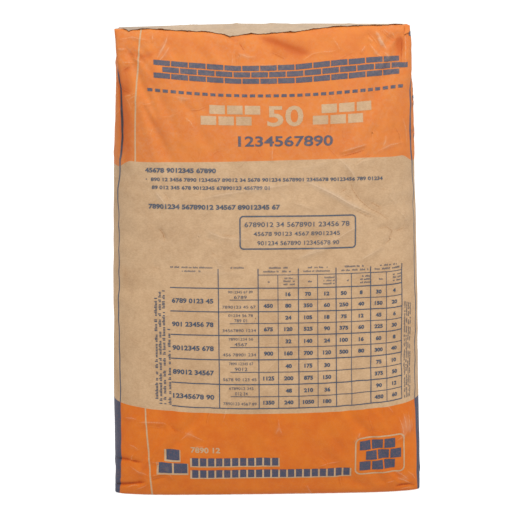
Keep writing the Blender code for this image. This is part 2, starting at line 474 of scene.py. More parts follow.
# %% [markdown]
# The sheet. Rings of points are stacked from the floor up, each starting at the back, where the
# real tube has its glued seam, and running round by the left side, the front and the right side.
# Each point also gets its place on the flat paper: how far round the tube it is from the middle
# of the front, and how far up the paper from the bottom fold. Anything printed on the paper is
# then laid out flat, like artwork, and bends with the sack by itself.

# %% Weave the rings into a mesh
STEPS_ACROSS, STEPS_DEEP, STEPS_UP = 160, 30, 230
ROW_BUNCHING = 0.30  # 0 spaces the rows evenly, and 1 brings them close together at both ends
RUMPLE_PULL = 0.012  # near the top the paper is bunched at mid width, by this much of its height
RUMPLE_START, RUMPLE_FULL = 0.47, 0.57  # heights on the paper between which it bunches
SAG_PULL = 0.006  # low down, the load pulls the paper down at mid width
SAG_AT, SAG_REACH = 0.115, 0.13  # the middle of that stretch and half its height
FRONT_HALF = 0.18  # metres round, from the front's middle to where both pulls end


def ring_places():
    """Places round a square from the middle of its back, by its left, front and right sides."""
    half = STEPS_ACROSS // 2
    line = np.linspace(-1.0, 1.0, STEPS_ACROSS + 1)
    side = np.linspace(-1.0, 1.0, STEPS_DEEP + 1)
    left, right = np.full(STEPS_DEEP, -1.0), np.full(STEPS_DEEP, 1.0)
    across = np.concatenate([-line[half:-1], left, line[:-1], right, -line[:half]])
    back, front = np.full(half, 1.0), np.full(STEPS_ACROSS, -1.0)
    deep = np.concatenate([back, -side[:-1], front, side[:-1], back])
    return across, deep


def flat_coordinates(rings):
    """Length round each ring from the front's middle, and up each column from the foot."""
    closed = np.concatenate([rings, rings[:, :1]], axis=1)
    steps = np.linalg.norm(np.diff(closed, axis=1), axis=2)
    around = np.concatenate([np.zeros((len(rings), 1)), np.cumsum(steps, axis=1)], axis=1)
    front = STEPS_ACROSS + STEPS_DEEP
    around -= around[:, front : front + 1]
    rises = np.linalg.norm(np.diff(closed, axis=0), axis=2)
    along = np.concatenate([np.zeros((1, closed.shape[1])), np.cumsum(rises, axis=0)])
    bunched = np.clip((along - RUMPLE_START) / (RUMPLE_FULL - RUMPLE_START), 0.0, 1.0)
    outward = np.clip(around / FRONT_HALF, -1.0, 1.0) ** 2
    sag = np.clip(1.0 - ((along - SAG_AT) / SAG_REACH) ** 2, 0.0, 1.0) ** 2
    along = along - RUMPLE_PULL * bunched * outward + SAG_PULL * sag * (1.0 - outward)
    return around, along


print("rings of", len(ring_places()[0]), "points,", STEPS_UP + 1, "of them")

# %% [markdown]
# Handled paper is never smooth, so two noises push it in and out, and fade towards the ends. Each
# end is a grid of its own, with its rim moved as the wall's was, so that both meet without a gap.

# %% Rumple the paper and close the ends
LUMP_HEIGHT, LUMP_RATE = 0.0016, 10.0  # broad soft lumps, in metres and per metre
WRINKLE_HEIGHT, WRINKLE_RATE = 0.0010, 26.0  # sharper folds
WRINKLE_PLACE, WRINKLE_LEVEL = Vector((7.0, 3.0, 5.0)), 0.6  # elsewhere in the noise, and its mean
CALM_FOOT, CALM_TOP = 0.05, 0.03  # shares of the height over which it fades out at each end


def grid_faces(rows, columns, offset=0):
    """Index quads of a grid of points, numbered row by row."""
    row, column = np.meshgrid(np.arange(rows - 1), np.arange(columns - 1), indexing="ij")
    first = (row * columns + column).ravel() + offset
    return np.stack([first, first + 1, first + columns + 1, first + columns], axis=1)


def normals_of(wall):
    """Directions out of a wall that is given as rings of points, the last column being the first."""
    up = np.gradient(wall, axis=0)
    closed = np.concatenate([wall[:, -2:-1], wall, wall[:, 1:2]], axis=1)
    round_it = closed[:, 2:] - closed[:, :-2]
    out = np.cross(round_it, up)
    return out / np.linalg.norm(out, axis=2, keepdims=True)


def rumple(places, rise):
    """How far handling has pushed the paper in or out, in metres."""
    pushed = []
    for place in places.reshape(-1, 3):
        at = Vector(place)
        lump = noise_of.noise(at * LUMP_RATE)
        wrinkle = 1.0 - 2.0 * abs(noise_of.noise(at * WRINKLE_RATE + WRINKLE_PLACE))
        pushed.append(LUMP_HEIGHT * lump + WRINKLE_HEIGHT * (wrinkle - WRINKLE_LEVEL))
    fade = smooth(rise, 0.0, CALM_FOOT) * smooth(1.0 - rise, 0.0, CALM_TOP)
    return np.array(pushed).reshape(places.shape[:2]) * fade[:, None]


def end_cap(rise, wall_row, moved):
    """One end as a grid from left to right and front to back, with its rim moved as the wall's is."""
    across, deep = np.meshgrid(np.linspace(-1, 1, STEPS_ACROSS + 1), np.linspace(-1, 1, STEPS_DEEP + 1))
    cap = on_sack(across, deep, np.full_like(across, rise))
    half, wide, side = STEPS_ACROSS // 2, STEPS_ACROSS, STEPS_DEEP
    front = moved[wall_row, half + side : half + side + wide + 1]
    right = moved[wall_row, half + side + wide : half + 2 * side + wide + 1]
    left = moved[wall_row, half : half + side + 1][::-1]
    back = np.concatenate([moved[wall_row, : half + 1][::-1], moved[wall_row, -half - 1 : -1][::-1]])
    share_x, share_y = ((grid + 1.0)[..., None] / 2 for grid in (across, deep))
    sides = blend(front[None], back[None], share_y) + blend(left[:, None], right[:, None], share_x)
    corners = blend(blend(front[0], front[-1], share_x), blend(back[0], back[-1], share_x), share_y)
    cap = cap + sides - corners
    cap[..., 2] += end_lift(across, deep, rise)
    return cap


print("lumps up to", LUMP_HEIGHT * 1000, "mm and wrinkles up to", WRINKLE_HEIGHT * 1000, "mm")

# %% [markdown]
# The next step works on a coarse copy of the wall. One tool finds a field's broad form, as the mean
# over its neighbours, and the other brings a coarse field back to the fine wall.

# %% Means and finer fields on a ring of points
def spread_out(field, rows, columns):
    """The mean over some rows and columns to each side, on a ring of columns."""
    for axis, steps, mode in ((0, rows, "edge"), (1, columns, "wrap")):
        margins = [(0, 0)] * field.ndim
        margins[axis] = (steps, steps)
        padded = np.pad(field, margins, mode=mode)
        count = field.shape[axis]
        parts = [np.take(padded, range(i, i + count), axis=axis) for i in range(2 * steps + 1)]
        field = np.mean(parts, axis=0)
    return field


def doubled(field):
    """A ring of columns with a smoothly curved point put in between each two, and likewise its rows."""
    wide = np.empty((field.shape[0], 2 * field.shape[1], field.shape[2]))
    wide[:, 0::2] = field
    around = [np.roll(field, shift, axis=1) for shift in (1, 0, -1, -2)]
    wide[:, 1::2] = (9 * (around[1] + around[2]) - around[0] - around[3]) / 16
    tall = np.empty((2 * wide.shape[0] - 1, *wide.shape[1:]))
    tall[0::2] = wide
    padded = np.pad(wide, ((1, 1), (0, 0), (0, 0)), mode="edge")
    tall[1::2] = (9 * (padded[1:-2] + padded[2:-1]) - padded[:-3] - padded[3:]) / 16
    return tall


print("tools for fields on a ring ready")

# %% [markdown]
# Soft folds. Between its filled belly and its flat ends the paper is too long, and it wrinkles in
# a way that nobody would draw by hand: short folds fan out from the corners and die away in the
# belly. Blender's cloth finds them. A coarse copy of the wall, held at both ends, gets a slightly
# longer paper near them and a push from inside, and after a few frames its wrinkles are read off.
# Its broad form is left out, because the sack's form is already right, and so is anything beyond
# a few millimetres. The sharp creases are pressed in afterwards, so that the cloth doesn't iron
# them out.

# %% Let the paper settle
SETTLE_FRAMES, SETTLE_QUALITY = 16, 5
SETTLE_PRESSURE, SETTLE_SLACK = 1.2, 0.05  # the push from inside, and how much too long the paper is
SLACK_REACH = 0.30  # share of the height, from each end, over which that slack fades out
LEAST_SLACK = 0.25  # share of the slack that is left in the belly
PAPER_TENSION, PAPER_SHEAR, PAPER_BENDING, PAPER_MASS = 40.0, 20.0, 1.0, 0.3
SETTLE_GAIN = 1.5  # paper's folds are deeper than cloth's
SETTLE_LIMIT = 0.0035  # the furthest that a point may move
UPRIGHT_STEPS, FORM_STEPS = 24, 7  # the settled wall's broad form, over these steps each way, is left out
HELD_ROWS, EASED_ROWS = 2, 4.0  # rows that are pinned at each end, and over which wrinkles set in


def settled(wall):
    """How a cloth of the wall's every second point wrinkles under the cement's pressure, in metres."""
    coarse = wall[::2, :-1:2]
    rows, columns = coarse.shape[:2]
    index = np.arange(rows * columns).reshape(rows, columns)
    after = np.roll(index, -1, axis=1)
    faces = np.stack([index[:-1], after[:-1], after[1:], index[1:]], axis=-1).reshape(-1, 4)
    mesh = bpy.data.meshes.new("settling_paper")
    mesh.from_pydata(coarse.reshape(-1, 3).tolist(), [], faces.tolist())
    paper = in_scene("settling_paper", mesh)
    pins, slack = paper.vertex_groups.new(name="pins"), paper.vertex_groups.new(name="slack")
    held = np.concatenate([index[:HELD_ROWS].ravel(), index[-HELD_ROWS:].ravel()])
    pins.add([int(i) for i in held], 1.0, "REPLACE")
    for row, places in enumerate(index):
        from_end = min(row, rows - 1 - row) / (rows - 1)
        weight = max(0.0, 1.0 - from_end / SLACK_REACH)
        slack.add([int(i) for i in places], LEAST_SLACK + (1.0 - LEAST_SLACK) * weight, "REPLACE")
    cloth = paper.modifiers.new("Settle", "CLOTH").settings
    cloth.quality, cloth.mass = SETTLE_QUALITY, PAPER_MASS
    cloth.tension_stiffness = cloth.compression_stiffness = PAPER_TENSION
    cloth.shear_stiffness, cloth.bending_stiffness = PAPER_SHEAR, PAPER_BENDING
    cloth.use_pressure, cloth.uniform_pressure_force = True, SETTLE_PRESSURE
    cloth.vertex_group_mass, cloth.vertex_group_shrink = "pins", "slack"
    cloth.shrink_min, cloth.shrink_max = 0.0, -SETTLE_SLACK
    cloth.effector_weights.gravity = 0.0
    for moment in range(1, SETTLE_FRAMES + 1):
        bpy.context.scene.frame_set(moment)
    seen = paper.evaluated_get(bpy.context.evaluated_depsgraph_get()).data
    flat = np.empty(rows * columns * 3)
    seen.attributes["position"].data.foreach_get("vector", flat)
    shift = flat.reshape(coarse.shape) - coarse
    bpy.data.objects.remove(paper, do_unlink=True)
    bpy.context.scene.frame_set(1)
    print("cloth moved up to", np.linalg.norm(shift, axis=2).max().round(4), "m")
    shift = shift - spread_out(shift, UPRIGHT_STEPS, 0)
    shift = SETTLE_GAIN * (shift - spread_out(shift, FORM_STEPS, FORM_STEPS))
    size = np.maximum(np.linalg.norm(shift, axis=2, keepdims=True), NEARLY_ZERO)
    print("its wrinkles are", size.mean().round(5), "m on average and", size.max().round(4), "m at most")
    shift *= np.minimum(1.0, SETTLE_LIMIT / size)
    from_end = np.minimum(np.arange(rows), np.arange(rows)[::-1])
    fine = doubled(shift * smooth(from_end, 0.0, EASED_ROWS)[:, None, None])
    return np.concatenate([fine, fine[:, :1]], axis=1)


print("the paper settles in", SETTLE_FRAMES, "frames")

# %% [markdown]
# The finished sheet. The wall is pushed and pulled in the order in which a real sack gets its
# shape: handling and filling first, then the folds of its ends, the soft wrinkles and the sharp
# creases. Three grids, the wall and both ends, are joined into one closed mesh. It carries the
# flat coordinates as a UV map in metres. A second map fits all of the paper into one square, with
# most of its width for the front, so that baked colours are sharpest where the print is.

# %% Join the wall and the ends
BAKE_MAP = "OFBake"
# Metres round and up the sheet, and the shares of the square's sides at which they lie
BAKE_ROUND = ((-0.53, -0.2255, 0.2255, 0.53), (0.005, 0.155, 0.845, 0.995))
BAKE_UP = ((0.0, 0.66), (0.005, 0.755))
BAKE_ENDS = ((0.77, 0.88), (0.885, 0.995))  # the strips of the square that the two ends take
FLAT_FOOT = 0.006  # share of the height over which creases rise from the foot
WELD = 1e-5  # metres within which the grids' points are joined


def bake_map(around, along):
    """Where points of the wall lie in the square."""
    return np.stack([np.interp(around, *BAKE_ROUND), np.interp(along, *BAKE_UP)], axis=-1)


def sheet_grids():
    """The wall and the two ends as grids of places, flat paper coordinates, crease heights and bake map."""
    across, deep = ring_places()
    spacing = (1.0 - np.cos(np.pi * np.linspace(0, 1, STEPS_UP + 1))) / 2
    rise = blend(np.linspace(0, 1, STEPS_UP + 1), spacing, ROW_BUNCHING)
    rings = on_sack(across[None, :], deep[None, :], rise[:, None])
    around, along = flat_coordinates(rings)
    plain = np.concatenate([rings, rings[:, :1]], axis=1)
    lift = np.zeros(plain.shape)
    raised = end_lift(across[None, :], deep[None, :], rise[:, None])
    lift[..., 2] = np.pad(raised, ((0, 0), (0, 1)), mode="wrap")
    rumpled = plain + normals_of(plain) * rumple(plain, rise)[..., None]
    wall = rumpled + tuck_pull(around, plain[..., 2]) + lift
    wall += settled(wall)
    folds = crease_height(around, along)
    wall += normals_of(wall) * (folds * smooth(rise, 0.0, FLAT_FOOT)[:, None])[..., None]
    moved = wall - plain - lift
    grids = [(wall, np.stack([around, along], axis=-1), folds, bake_map(around, along))]
    first, last = BAKE_ROUND[1][0], BAKE_ROUND[1][-1]
    for end, (low, high) in zip((0.0, 1.0), BAKE_ENDS):
        cap = end_cap(end, -1 if end else 0, moved)
        rim = along[-1, STEPS_ACROSS + STEPS_DEEP] if end else 0.0
        inward = (BOTTOM_DEPTH / 2 - np.abs(cap[..., 1])) * (1.0 if end else -1.0)
        flat = np.stack([cap[..., 0], rim + inward], axis=-1)
        in_square = np.meshgrid(np.linspace(first, last, cap.shape[1]), np.linspace(low, high, cap.shape[0]))
        grids.append((cap, flat, np.zeros(cap.shape[:2]), np.stack(in_square, axis=-1)))
    return grids


def sheet_mesh(name, grids):
    """Joins the grids into one closed mesh, with both maps and the creases' height in millimetres."""
    faces, count = [], 0
    for (grid, *_), inside_out in zip(grids, (False, True, False)):
        quads = grid_faces(*grid.shape[:2], count)
        faces.append(quads[:, ::-1] if inside_out else quads)
        count += grid.shape[0] * grid.shape[1]
    numbers = (3, 2, 1, 2)  # that a point has in each part of a grid
    places, flat, folds, square = (
        np.concatenate([grid[part].reshape(-1, each) for grid in grids])
        for part, each in enumerate(numbers)
    )
    faces = np.concatenate(faces)
    mesh = bpy.data.meshes.new(name)
    mesh.from_pydata(places.tolist(), [], faces.tolist())
    fold = mesh.attributes.new("fold", "FLOAT", "POINT")
    fold.data.foreach_set("value", (folds[:, 0] * 1000).astype(np.float32))
    for layer, spots in (("sheet", flat), (BAKE_MAP, square)):
        mesh.uv_layers.new(name=layer).data.foreach_set("uv", spots[faces.ravel()].astype(np.float32).ravel())
    shape = bmesh.new()
    shape.from_mesh(mesh)
    bmesh.ops.remove_doubles(shape, verts=shape.verts, dist=WELD)
    shape.to_mesh(mesh)
    shape.free()
    mesh.shade_smooth()
    return mesh


GRIDS = sheet_grids()
sack = in_scene("paper_sack", sheet_mesh("paper_sack", GRIDS))
print("paper sack:", len(sack.data.vertices), "points,", len(sack.data.polygons), "faces")

# %% [markdown]
# Node helpers. A node tree is easier to read when each step is one short call, so these make a
# node, set its values and wire it up. A number stands for itself and a socket is linked. They
# serve shader trees and geometry trees alike.

# %% Helpers for node trees
def feed(tree, socket, value):
    """Links a socket, or sets a plain value."""
    if isinstance(value, bpy.types.NodeSocket):
        tree.links.new(value, socket)
    else:
        socket.default_value = value


def node(tree, kind, inputs=None, **settings):
    made = tree.nodes.new(kind)
    for name, value in settings.items():
        setattr(made, name, value)
    for name, value in (inputs or {}).items():
        feed(tree, made.inputs[name], value)
    return made


def sums(tree, operation, first, second=0.0, third=0.0, clamp=False):
    made = node(tree, "ShaderNodeMath", {0: first, 1: second, 2: third}, operation=operation, use_clamp=clamp)
    return made.outputs[0]


def times(tree, first, second, clamp=False):
    return sums(tree, "MULTIPLY", first, second, clamp=clamp)


def plus(tree, first, second, clamp=False):
    return sums(tree, "ADD", first, second, clamp=clamp)


def minus(tree, first, second, clamp=False):
    return sums(tree, "SUBTRACT", first, second, clamp=clamp)


def times_plus(tree, first, factor, extra, clamp=False):
    return sums(tree, "MULTIPLY_ADD", first, factor, extra, clamp)


def parts_of(tree, vector):
    """A vector's X, Y and Z."""
    return node(tree, "ShaderNodeSeparateXYZ", {"Vector": vector}).outputs


def vector_of(tree, x=0.0, y=0.0, z=0.0):
    return node(tree, "ShaderNodeCombineXYZ", {"X": x, "Y": y, "Z": z}).outputs[0]


def shifted(tree, vector, by):
    return node(tree, "ShaderNodeVectorMath", {0: vector, 1: by}, operation="ADD").outputs[0]


def scaled(tree, vector, by):
    return node(tree, "ShaderNodeVectorMath", {0: vector, "Scale": by}, operation="SCALE").outputs[0]


def step_up(tree, value, low, high):
    """0 below low, 1 above high and a smooth ramp between."""
    made = node(tree, "ShaderNodeMapRange", {"Value": value, "From Min": low, "From Max": high},
                interpolation_type="SMOOTHSTEP")
    return made.outputs["Result"]


def mixed(tree, share, first, second, blend_type="MIX"):
    made = node(tree, "ShaderNodeMix", data_type="RGBA", blend_type=blend_type)
    colours = [socket for socket in made.inputs if socket.type == "RGBA"]
    feed(tree, made.inputs["Factor"], share)
    feed(tree, colours[0], first)
    feed(tree, colours[1], second)
    return next(socket for socket in made.outputs if socket.type == "RGBA")


def noise(tree, vector, scale, detail=3.0, roughness=0.5, distortion=0.0):
    made = node(tree, "ShaderNodeTexNoise", {
        "Vector": vector, "Scale": scale, "Detail": detail, "Roughness": roughness, "Distortion": distortion
    })
    return made.outputs["Fac"]


print("helpers for sums, ramps, mixes and noises ready")

# %% [markdown]
# An effect that several materials share is a node group with named inputs and outputs. These
# helpers make an empty one, and place one in a tree with its inputs by name.

# %% Helpers for node groups
def new_tree(name, kind, inputs, outputs):
    """An empty node group with its named sockets, and its input and output nodes' sockets."""
    tree = bpy.data.node_groups.new(name, kind)
    for socket, socket_kind, *default in inputs:
        made = tree.interface.new_socket(socket, in_out="INPUT", socket_type=socket_kind)
        if default:
            made.default_value = default[0]
    for socket, socket_kind in outputs:
        tree.interface.new_socket(socket, in_out="OUTPUT", socket_type=socket_kind)
    return tree, tree.nodes.new("NodeGroupInput").outputs, tree.nodes.new("NodeGroupOutput").inputs


def effect(name, inputs, outputs):
    return new_tree(name, "ShaderNodeTree", inputs, outputs)


def use(tree, group, **inputs):
    """Places a group in a tree, with its inputs by name, spaces written as underscores."""
    made = tree.nodes.new("ShaderNodeGroup")
    made.node_tree = group
    for name, value in inputs.items():
        feed(tree, made.inputs[name.replace("_", " ")], value)
    return made.outputs


FLOAT, VECTOR, COLOUR = "NodeSocketFloat", "NodeSocketVector", "NodeSocketColor"
WHOLE, MESH = "NodeSocketInt", "NodeSocketGeometry"
OBJECT, MATERIAL = "NodeSocketObject", "NodeSocketMaterial"
print("helpers for groups ready")

# %% [markdown]
# Paper itself. Kraft has long brown fibres in a paler ground, a cloudy shade where it is thicker,
# and a surface that scatters light. The dust of the works lies over ink and paper alike, and ink
# is rubbed off in fine specks. Each of these effects is a group, built once.

# %% Effects of paper, wear and dust
# Noises: how many to the metre, detail, roughness and, for some, distortion
KRAFT_CLOUDS, KRAFT_PATCHES, KRAFT_FIBRES = (75.0, 5.0, 0.7), (15.0, 2.0, 0.6), (1500.0, 2.0, 0.6)
KRAFT_BLOTCHES, BLOTCH_RATES = (1.0, 3.0, 0.7), (330.0, 330.0, 620.0)  # these lie flat across the paper
DUST_PATCHES, DUST_SCUFFS = (11.0, 4.0, 0.65, 0.5), (190.0, 5.0, 0.75, 0.4)
INK_SPECKS, INK_WORN = (430.0, 4.0, 0.75), (26.0, 3.0, 0.6)
BEND_RATE, BEND_DETAIL, BEND_BY = 12.0, 2.0, 0.05  # how the crumples' edges are bent, and by how many metres
CRUMPLE_CELLS = ((1.0, 0.55), (2.3, 0.3), (5.1, 0.15))  # times the rate, and share of the height
PATCHY_DUST, DUST_VEIL = (0.8, 0.2), (0.6, 0.25)  # what comes and goes, and what lies everywhere
WORN_AWAY = (1.1, 0.05)


def make_kraft():
    """Colour and relief of bare kraft."""
    inputs = [("Place", VECTOR), ("Ground", COLOUR), ("Fibre", COLOUR)]
    tree, given, out = effect("kraft", inputs, [("Color", COLOUR), ("Height", FLOAT)])
    place = given["Place"]
    stretched = node(tree, "ShaderNodeMapping", {"Vector": place, "Scale": BLOTCH_RATES}).outputs[0]
    cloud, blotch = noise(tree, place, *KRAFT_CLOUDS), noise(tree, stretched, *KRAFT_BLOTCHES)
    fibre, patch = noise(tree, place, *KRAFT_FIBRES), noise(tree, place, *KRAFT_PATCHES)
    share = 0.0
    for field, low, high, weight in ((blotch, 0.36, 0.66, 0.44), (cloud, 0.34, 0.68, 0.36),
                                     (patch, 0.40, 0.66, 0.30)):
        share = times_plus(tree, step_up(tree, field, low, high), weight, share)
    feed(tree, out["Color"], mixed(tree, share, given["Ground"], given["Fibre"]))
    feed(tree, out["Height"], plus(tree, times(tree, blotch, 0.5), times(tree, fibre, 0.5)))
    return tree


def make_dust():
    """Where pale cement dust has settled and been rubbed in, from 0 to 1."""
    tree, given, out = effect("dust", [("Place", VECTOR), ("Amount", FLOAT, 0.5)], [("Dust", FLOAT)])
    patchy = step_up(tree, noise(tree, given["Place"], *DUST_PATCHES), 0.36, 0.70)
    grainy = step_up(tree, noise(tree, given["Place"], *DUST_SCUFFS), 0.40, 0.68)
    blended = times(tree, times_plus(tree, patchy, *PATCHY_DUST), grainy)
    veiled = times_plus(tree, blended, *DUST_VEIL)
    feed(tree, out["Dust"], times(tree, veiled, given["Amount"], clamp=True))
    return tree


def make_ink_wear():
    """How much of the ink is left, from 0 to 1."""
    tree, given, out = effect("ink_wear", [("Place", VECTOR), ("Amount", FLOAT, 0.3)], [("Ink", FLOAT)])
    fine, broad = noise(tree, given["Place"], *INK_SPECKS), noise(tree, given["Place"], *INK_WORN)
    gone = times(tree, step_up(tree, fine, 0.44, 0.66), times_plus(tree, broad, *WORN_AWAY))
    feed(tree, out["Ink"], minus(tree, 1.0, times(tree, gone, given["Amount"]), clamp=True))
    return tree


def make_crumple():
    """Small sharp creases of handled paper, as a height."""
    tree, given, out = effect("crumple", [("Place", VECTOR), ("Scale", FLOAT, 20.0)], [("Height", FLOAT)])
    settings = {"Vector": given["Place"], "Scale": BEND_RATE, "Detail": BEND_DETAIL}
    bend = node(tree, "ShaderNodeTexNoise", settings).outputs["Color"]
    warped = shifted(tree, given["Place"], scaled(tree, bend, BEND_BY))
    total = 0.0
    for factor, weight in CRUMPLE_CELLS:
        scale = times(tree, given["Scale"], factor)
        cells = node(tree, "ShaderNodeTexVoronoi", {"Vector": warped, "Scale": scale}).outputs["Distance"]
        total = times_plus(tree, cells, weight, total)
    feed(tree, out["Height"], total)
    return tree


KRAFT = make_kraft()
DUST = make_dust()
INK_WEAR = make_ink_wear()
CRUMPLE = make_crumple()
print("paper effects:", [group.name for group in (KRAFT, DUST, INK_WEAR, CRUMPLE)])

# %% [markdown]
# The large fields of ink are part of the paper's own colour: an orange band at each end, a bare
# register line inside them, and a navy block on each side of the lower band, whose edge runs on
# up the sack as a thin navy line. They are worked out from the flat sheet coordinates.

# %% Colours of paper, ink and dust
def linear(red, green, blue):
    """A colour seen on a screen, 0 to 255, as the linear values that a shader takes."""
    values = (((c / 255 + 0.055) / 1.055) ** 2.4 if c > 10 else c / 3294.6 for c in (red, green, blue))
    return (*values, 1.0)


KRAFT_GROUND, KRAFT_FIBRE = linear(208, 173, 134), linear(184, 147, 109)
ORANGE_CLEAN, ORANGE_DEEP = linear(221, 119, 18), linear(210, 98, 5)
NAVY_INK = linear(40, 70, 96)
DUST_COLOUR = linear(204, 180, 154)
# painted shade: the share of the paper's colour that a crease's hollow keeps
HOLLOW_SHADE = linear(214, 188, 160)  # what a hollow leaves of the paper's colour
# pale rubbed wear and painted highlight, on the lit edge of a crease
RUB_AND_HIGHLIGHT_COLOUR = linear(222, 192, 160)
print("orange is", [round(x, 3) for x in ORANGE_CLEAN[:3]], "navy", [round(x, 3) for x in NAVY_INK[:3]])

# %% [markdown]
# Every length below is in metres on the flat sheet, round from the middle of the front or up from
# the bottom fold. Each edge has a soft border, as ink on rough paper has.

# %% Fields of ink
INK_EDGE = 0.00025  # half of the soft border of printed ink
BOTTOM_BAND_TOP = 0.1295
TOP_BAND_LOW, TOP_BAND_SLANT = 0.4695, 0.0029  # its edge climbs to the right by this much
BAND_DIP, DIP_FROM, DIP_TO = 0.012, 0.184, 0.212  # and drops by this where the paper turns to the sides
SLANT_RATE = 2 * math.pi / 0.9006  # radians per metre round the tube, so that it meets itself at the back
REGISTER_AT, REGISTER_WIDTH = -0.1785, 0.0022
REGISTER_BOW_UP, REGISTER_BOW_DOWN, REGISTER_MIDDLE = 0.36, 0.095, 0.44  # per metre squared, and from where
SIDE_MIDDLE, SIDE_FROM, SIDE_TO, SIDE_LINE = 0.0015, 0.2140, 0.2900, 0.0026
SIDE_TUCK, TUCK_START, TUCK_FULL = 0.0145, 0.41, 0.52  # the side line moves in where the top narrows
SIDE_SPREAD, SPREAD_START, SPREAD_FULL = 0.022, 0.545, 0.625  # and out again to the tips of the end
FOOT_TUCK, FOOT_START, FOOT_FULL = 0.006, 0.130, 0.020  # and in a little at the foot
SIDE_WIDENING, WIDER_FROM, WIDER_TO = 0.0009, 0.38, 0.50  # each half of the line is thicker above


def band_of_ink(tree, value, middle, width, widening=0.0):
    """A line of ink: 1 where the value is within half the width, and a widening, of the middle."""
    off = sums(tree, "ABSOLUTE", minus(tree, value, middle))
    off = minus(tree, off, widening)
    return step_up(tree, off, width / 2 + INK_EDGE, width / 2 - INK_EDGE)


def make_print_fields():
    tree, given, out = effect("print_fields", [("Sheet", VECTOR)], [("Orange", FLOAT), ("Navy", FLOAT)])
    place = parts_of(tree, given["Sheet"])
    around, along = place["X"], place["Y"]
    bottom_band = step_up(tree, along, BOTTOM_BAND_TOP + INK_EDGE, BOTTOM_BAND_TOP - INK_EDGE)
    slant = sums(tree, "SINE", times(tree, around, SLANT_RATE))
    leant = minus(tree, along, times(tree, slant, TOP_BAND_SLANT))
    turned = step_up(tree, sums(tree, "ABSOLUTE", around), DIP_FROM, DIP_TO)
    leant = times_plus(tree, turned, BAND_DIP, leant)
    top_band = step_up(tree, leant, TOP_BAND_LOW - INK_EDGE, TOP_BAND_LOW + INK_EDGE)
    rise = minus(tree, along, REGISTER_MIDDLE)
    upper = sums(tree, "GREATER_THAN", rise, 0.0)
    rate = times_plus(tree, upper, REGISTER_BOW_UP - REGISTER_BOW_DOWN, REGISTER_BOW_DOWN)
    bow = times_plus(tree, times(tree, rise, rise), rate, REGISTER_AT)
    register = band_of_ink(tree, around, bow, REGISTER_WIDTH)
    tuck = times(tree, step_up(tree, along, TUCK_START, TUCK_FULL), SIDE_TUCK)
    tuck = times_plus(tree, step_up(tree, along, SPREAD_START, SPREAD_FULL), -SIDE_SPREAD, tuck)
    tuck = times_plus(tree, step_up(tree, along, FOOT_START, FOOT_FULL), FOOT_TUCK, tuck)
    off_middle = sums(tree, "ABSOLUTE", minus(tree, around, SIDE_MIDDLE))
    out_to_side = plus(tree, off_middle, tuck)
    block = band_of_ink(tree, out_to_side, (SIDE_FROM + SIDE_TO) / 2, SIDE_TO - SIDE_FROM)
    block = times(tree, block, bottom_band)
    wider = times(tree, step_up(tree, along, WIDER_FROM, WIDER_TO), SIDE_WIDENING)
    lines = sums(tree, "MAXIMUM", band_of_ink(tree, out_to_side, SIDE_FROM, SIDE_LINE, wider),
                 band_of_ink(tree, out_to_side, SIDE_TO, SIDE_LINE, wider))
    bands = times(tree, sums(tree, "MAXIMUM", bottom_band, top_band), minus(tree, 1.0, register))
    feed(tree, out["Orange"], bands)
    feed(tree, out["Navy"], sums(tree, "MAXIMUM", block, lines))
    return tree


PRINT_FIELDS = make_print_fields()
print("fields of ink:", len(PRINT_FIELDS.nodes), "nodes")

# %% [markdown]
# Ink lies on kraft and wears off in specks, and dust settles on both, more on ridges. The upper half
# is paler, with less deep orange, less orange cover and more of the dust colour. The crease height
# tells ridges from hollows, and a hollow gets painted shade: its orange turns deeper and its colour darker.

# %% Printed paper as one group
# towards the top the paper is paler: less deep orange, less orange cover and more of the dust colour
HIGH_FROM, HIGH_TO = 0.25, 0.40  # metres up, between which the lower half's look turns into the upper's
WORN_INK = 0.60
ORANGE_CLOUDS, DEEP_ORANGE, LESS_DEEP_ABOVE = (38.0, 5.0, 0.7), (0.55, 0.28), 0.26
HOLLOW_FOLD, RIDGE_FOLD = (-0.4, -3.0), (0.3, 2.4)  # millimetres of a crease where it sets in and is full
ORANGE_COVER, PALER_ABOVE, NAVY_COVER = (0.16, 0.84), -0.06, (0.32, 0.64)  # what wears, and what stays
DUST_SHARE, DUST_IN_HOLLOW, DUST_ON_RIDGE = (0.22, 0.04), -0.2, 0.40
# how strongly the ribbons' rubbed wear and painted highlight, and the hollows' painted shade, show
RUB_AND_HIGHLIGHT_SHARE, HOLLOW_PAINTED_SHADE_SHARE = 0.6, 0.6
PAPER_ROUGHNESS = (0.25, 0.68)  # what dust adds to it, and that of clean paper


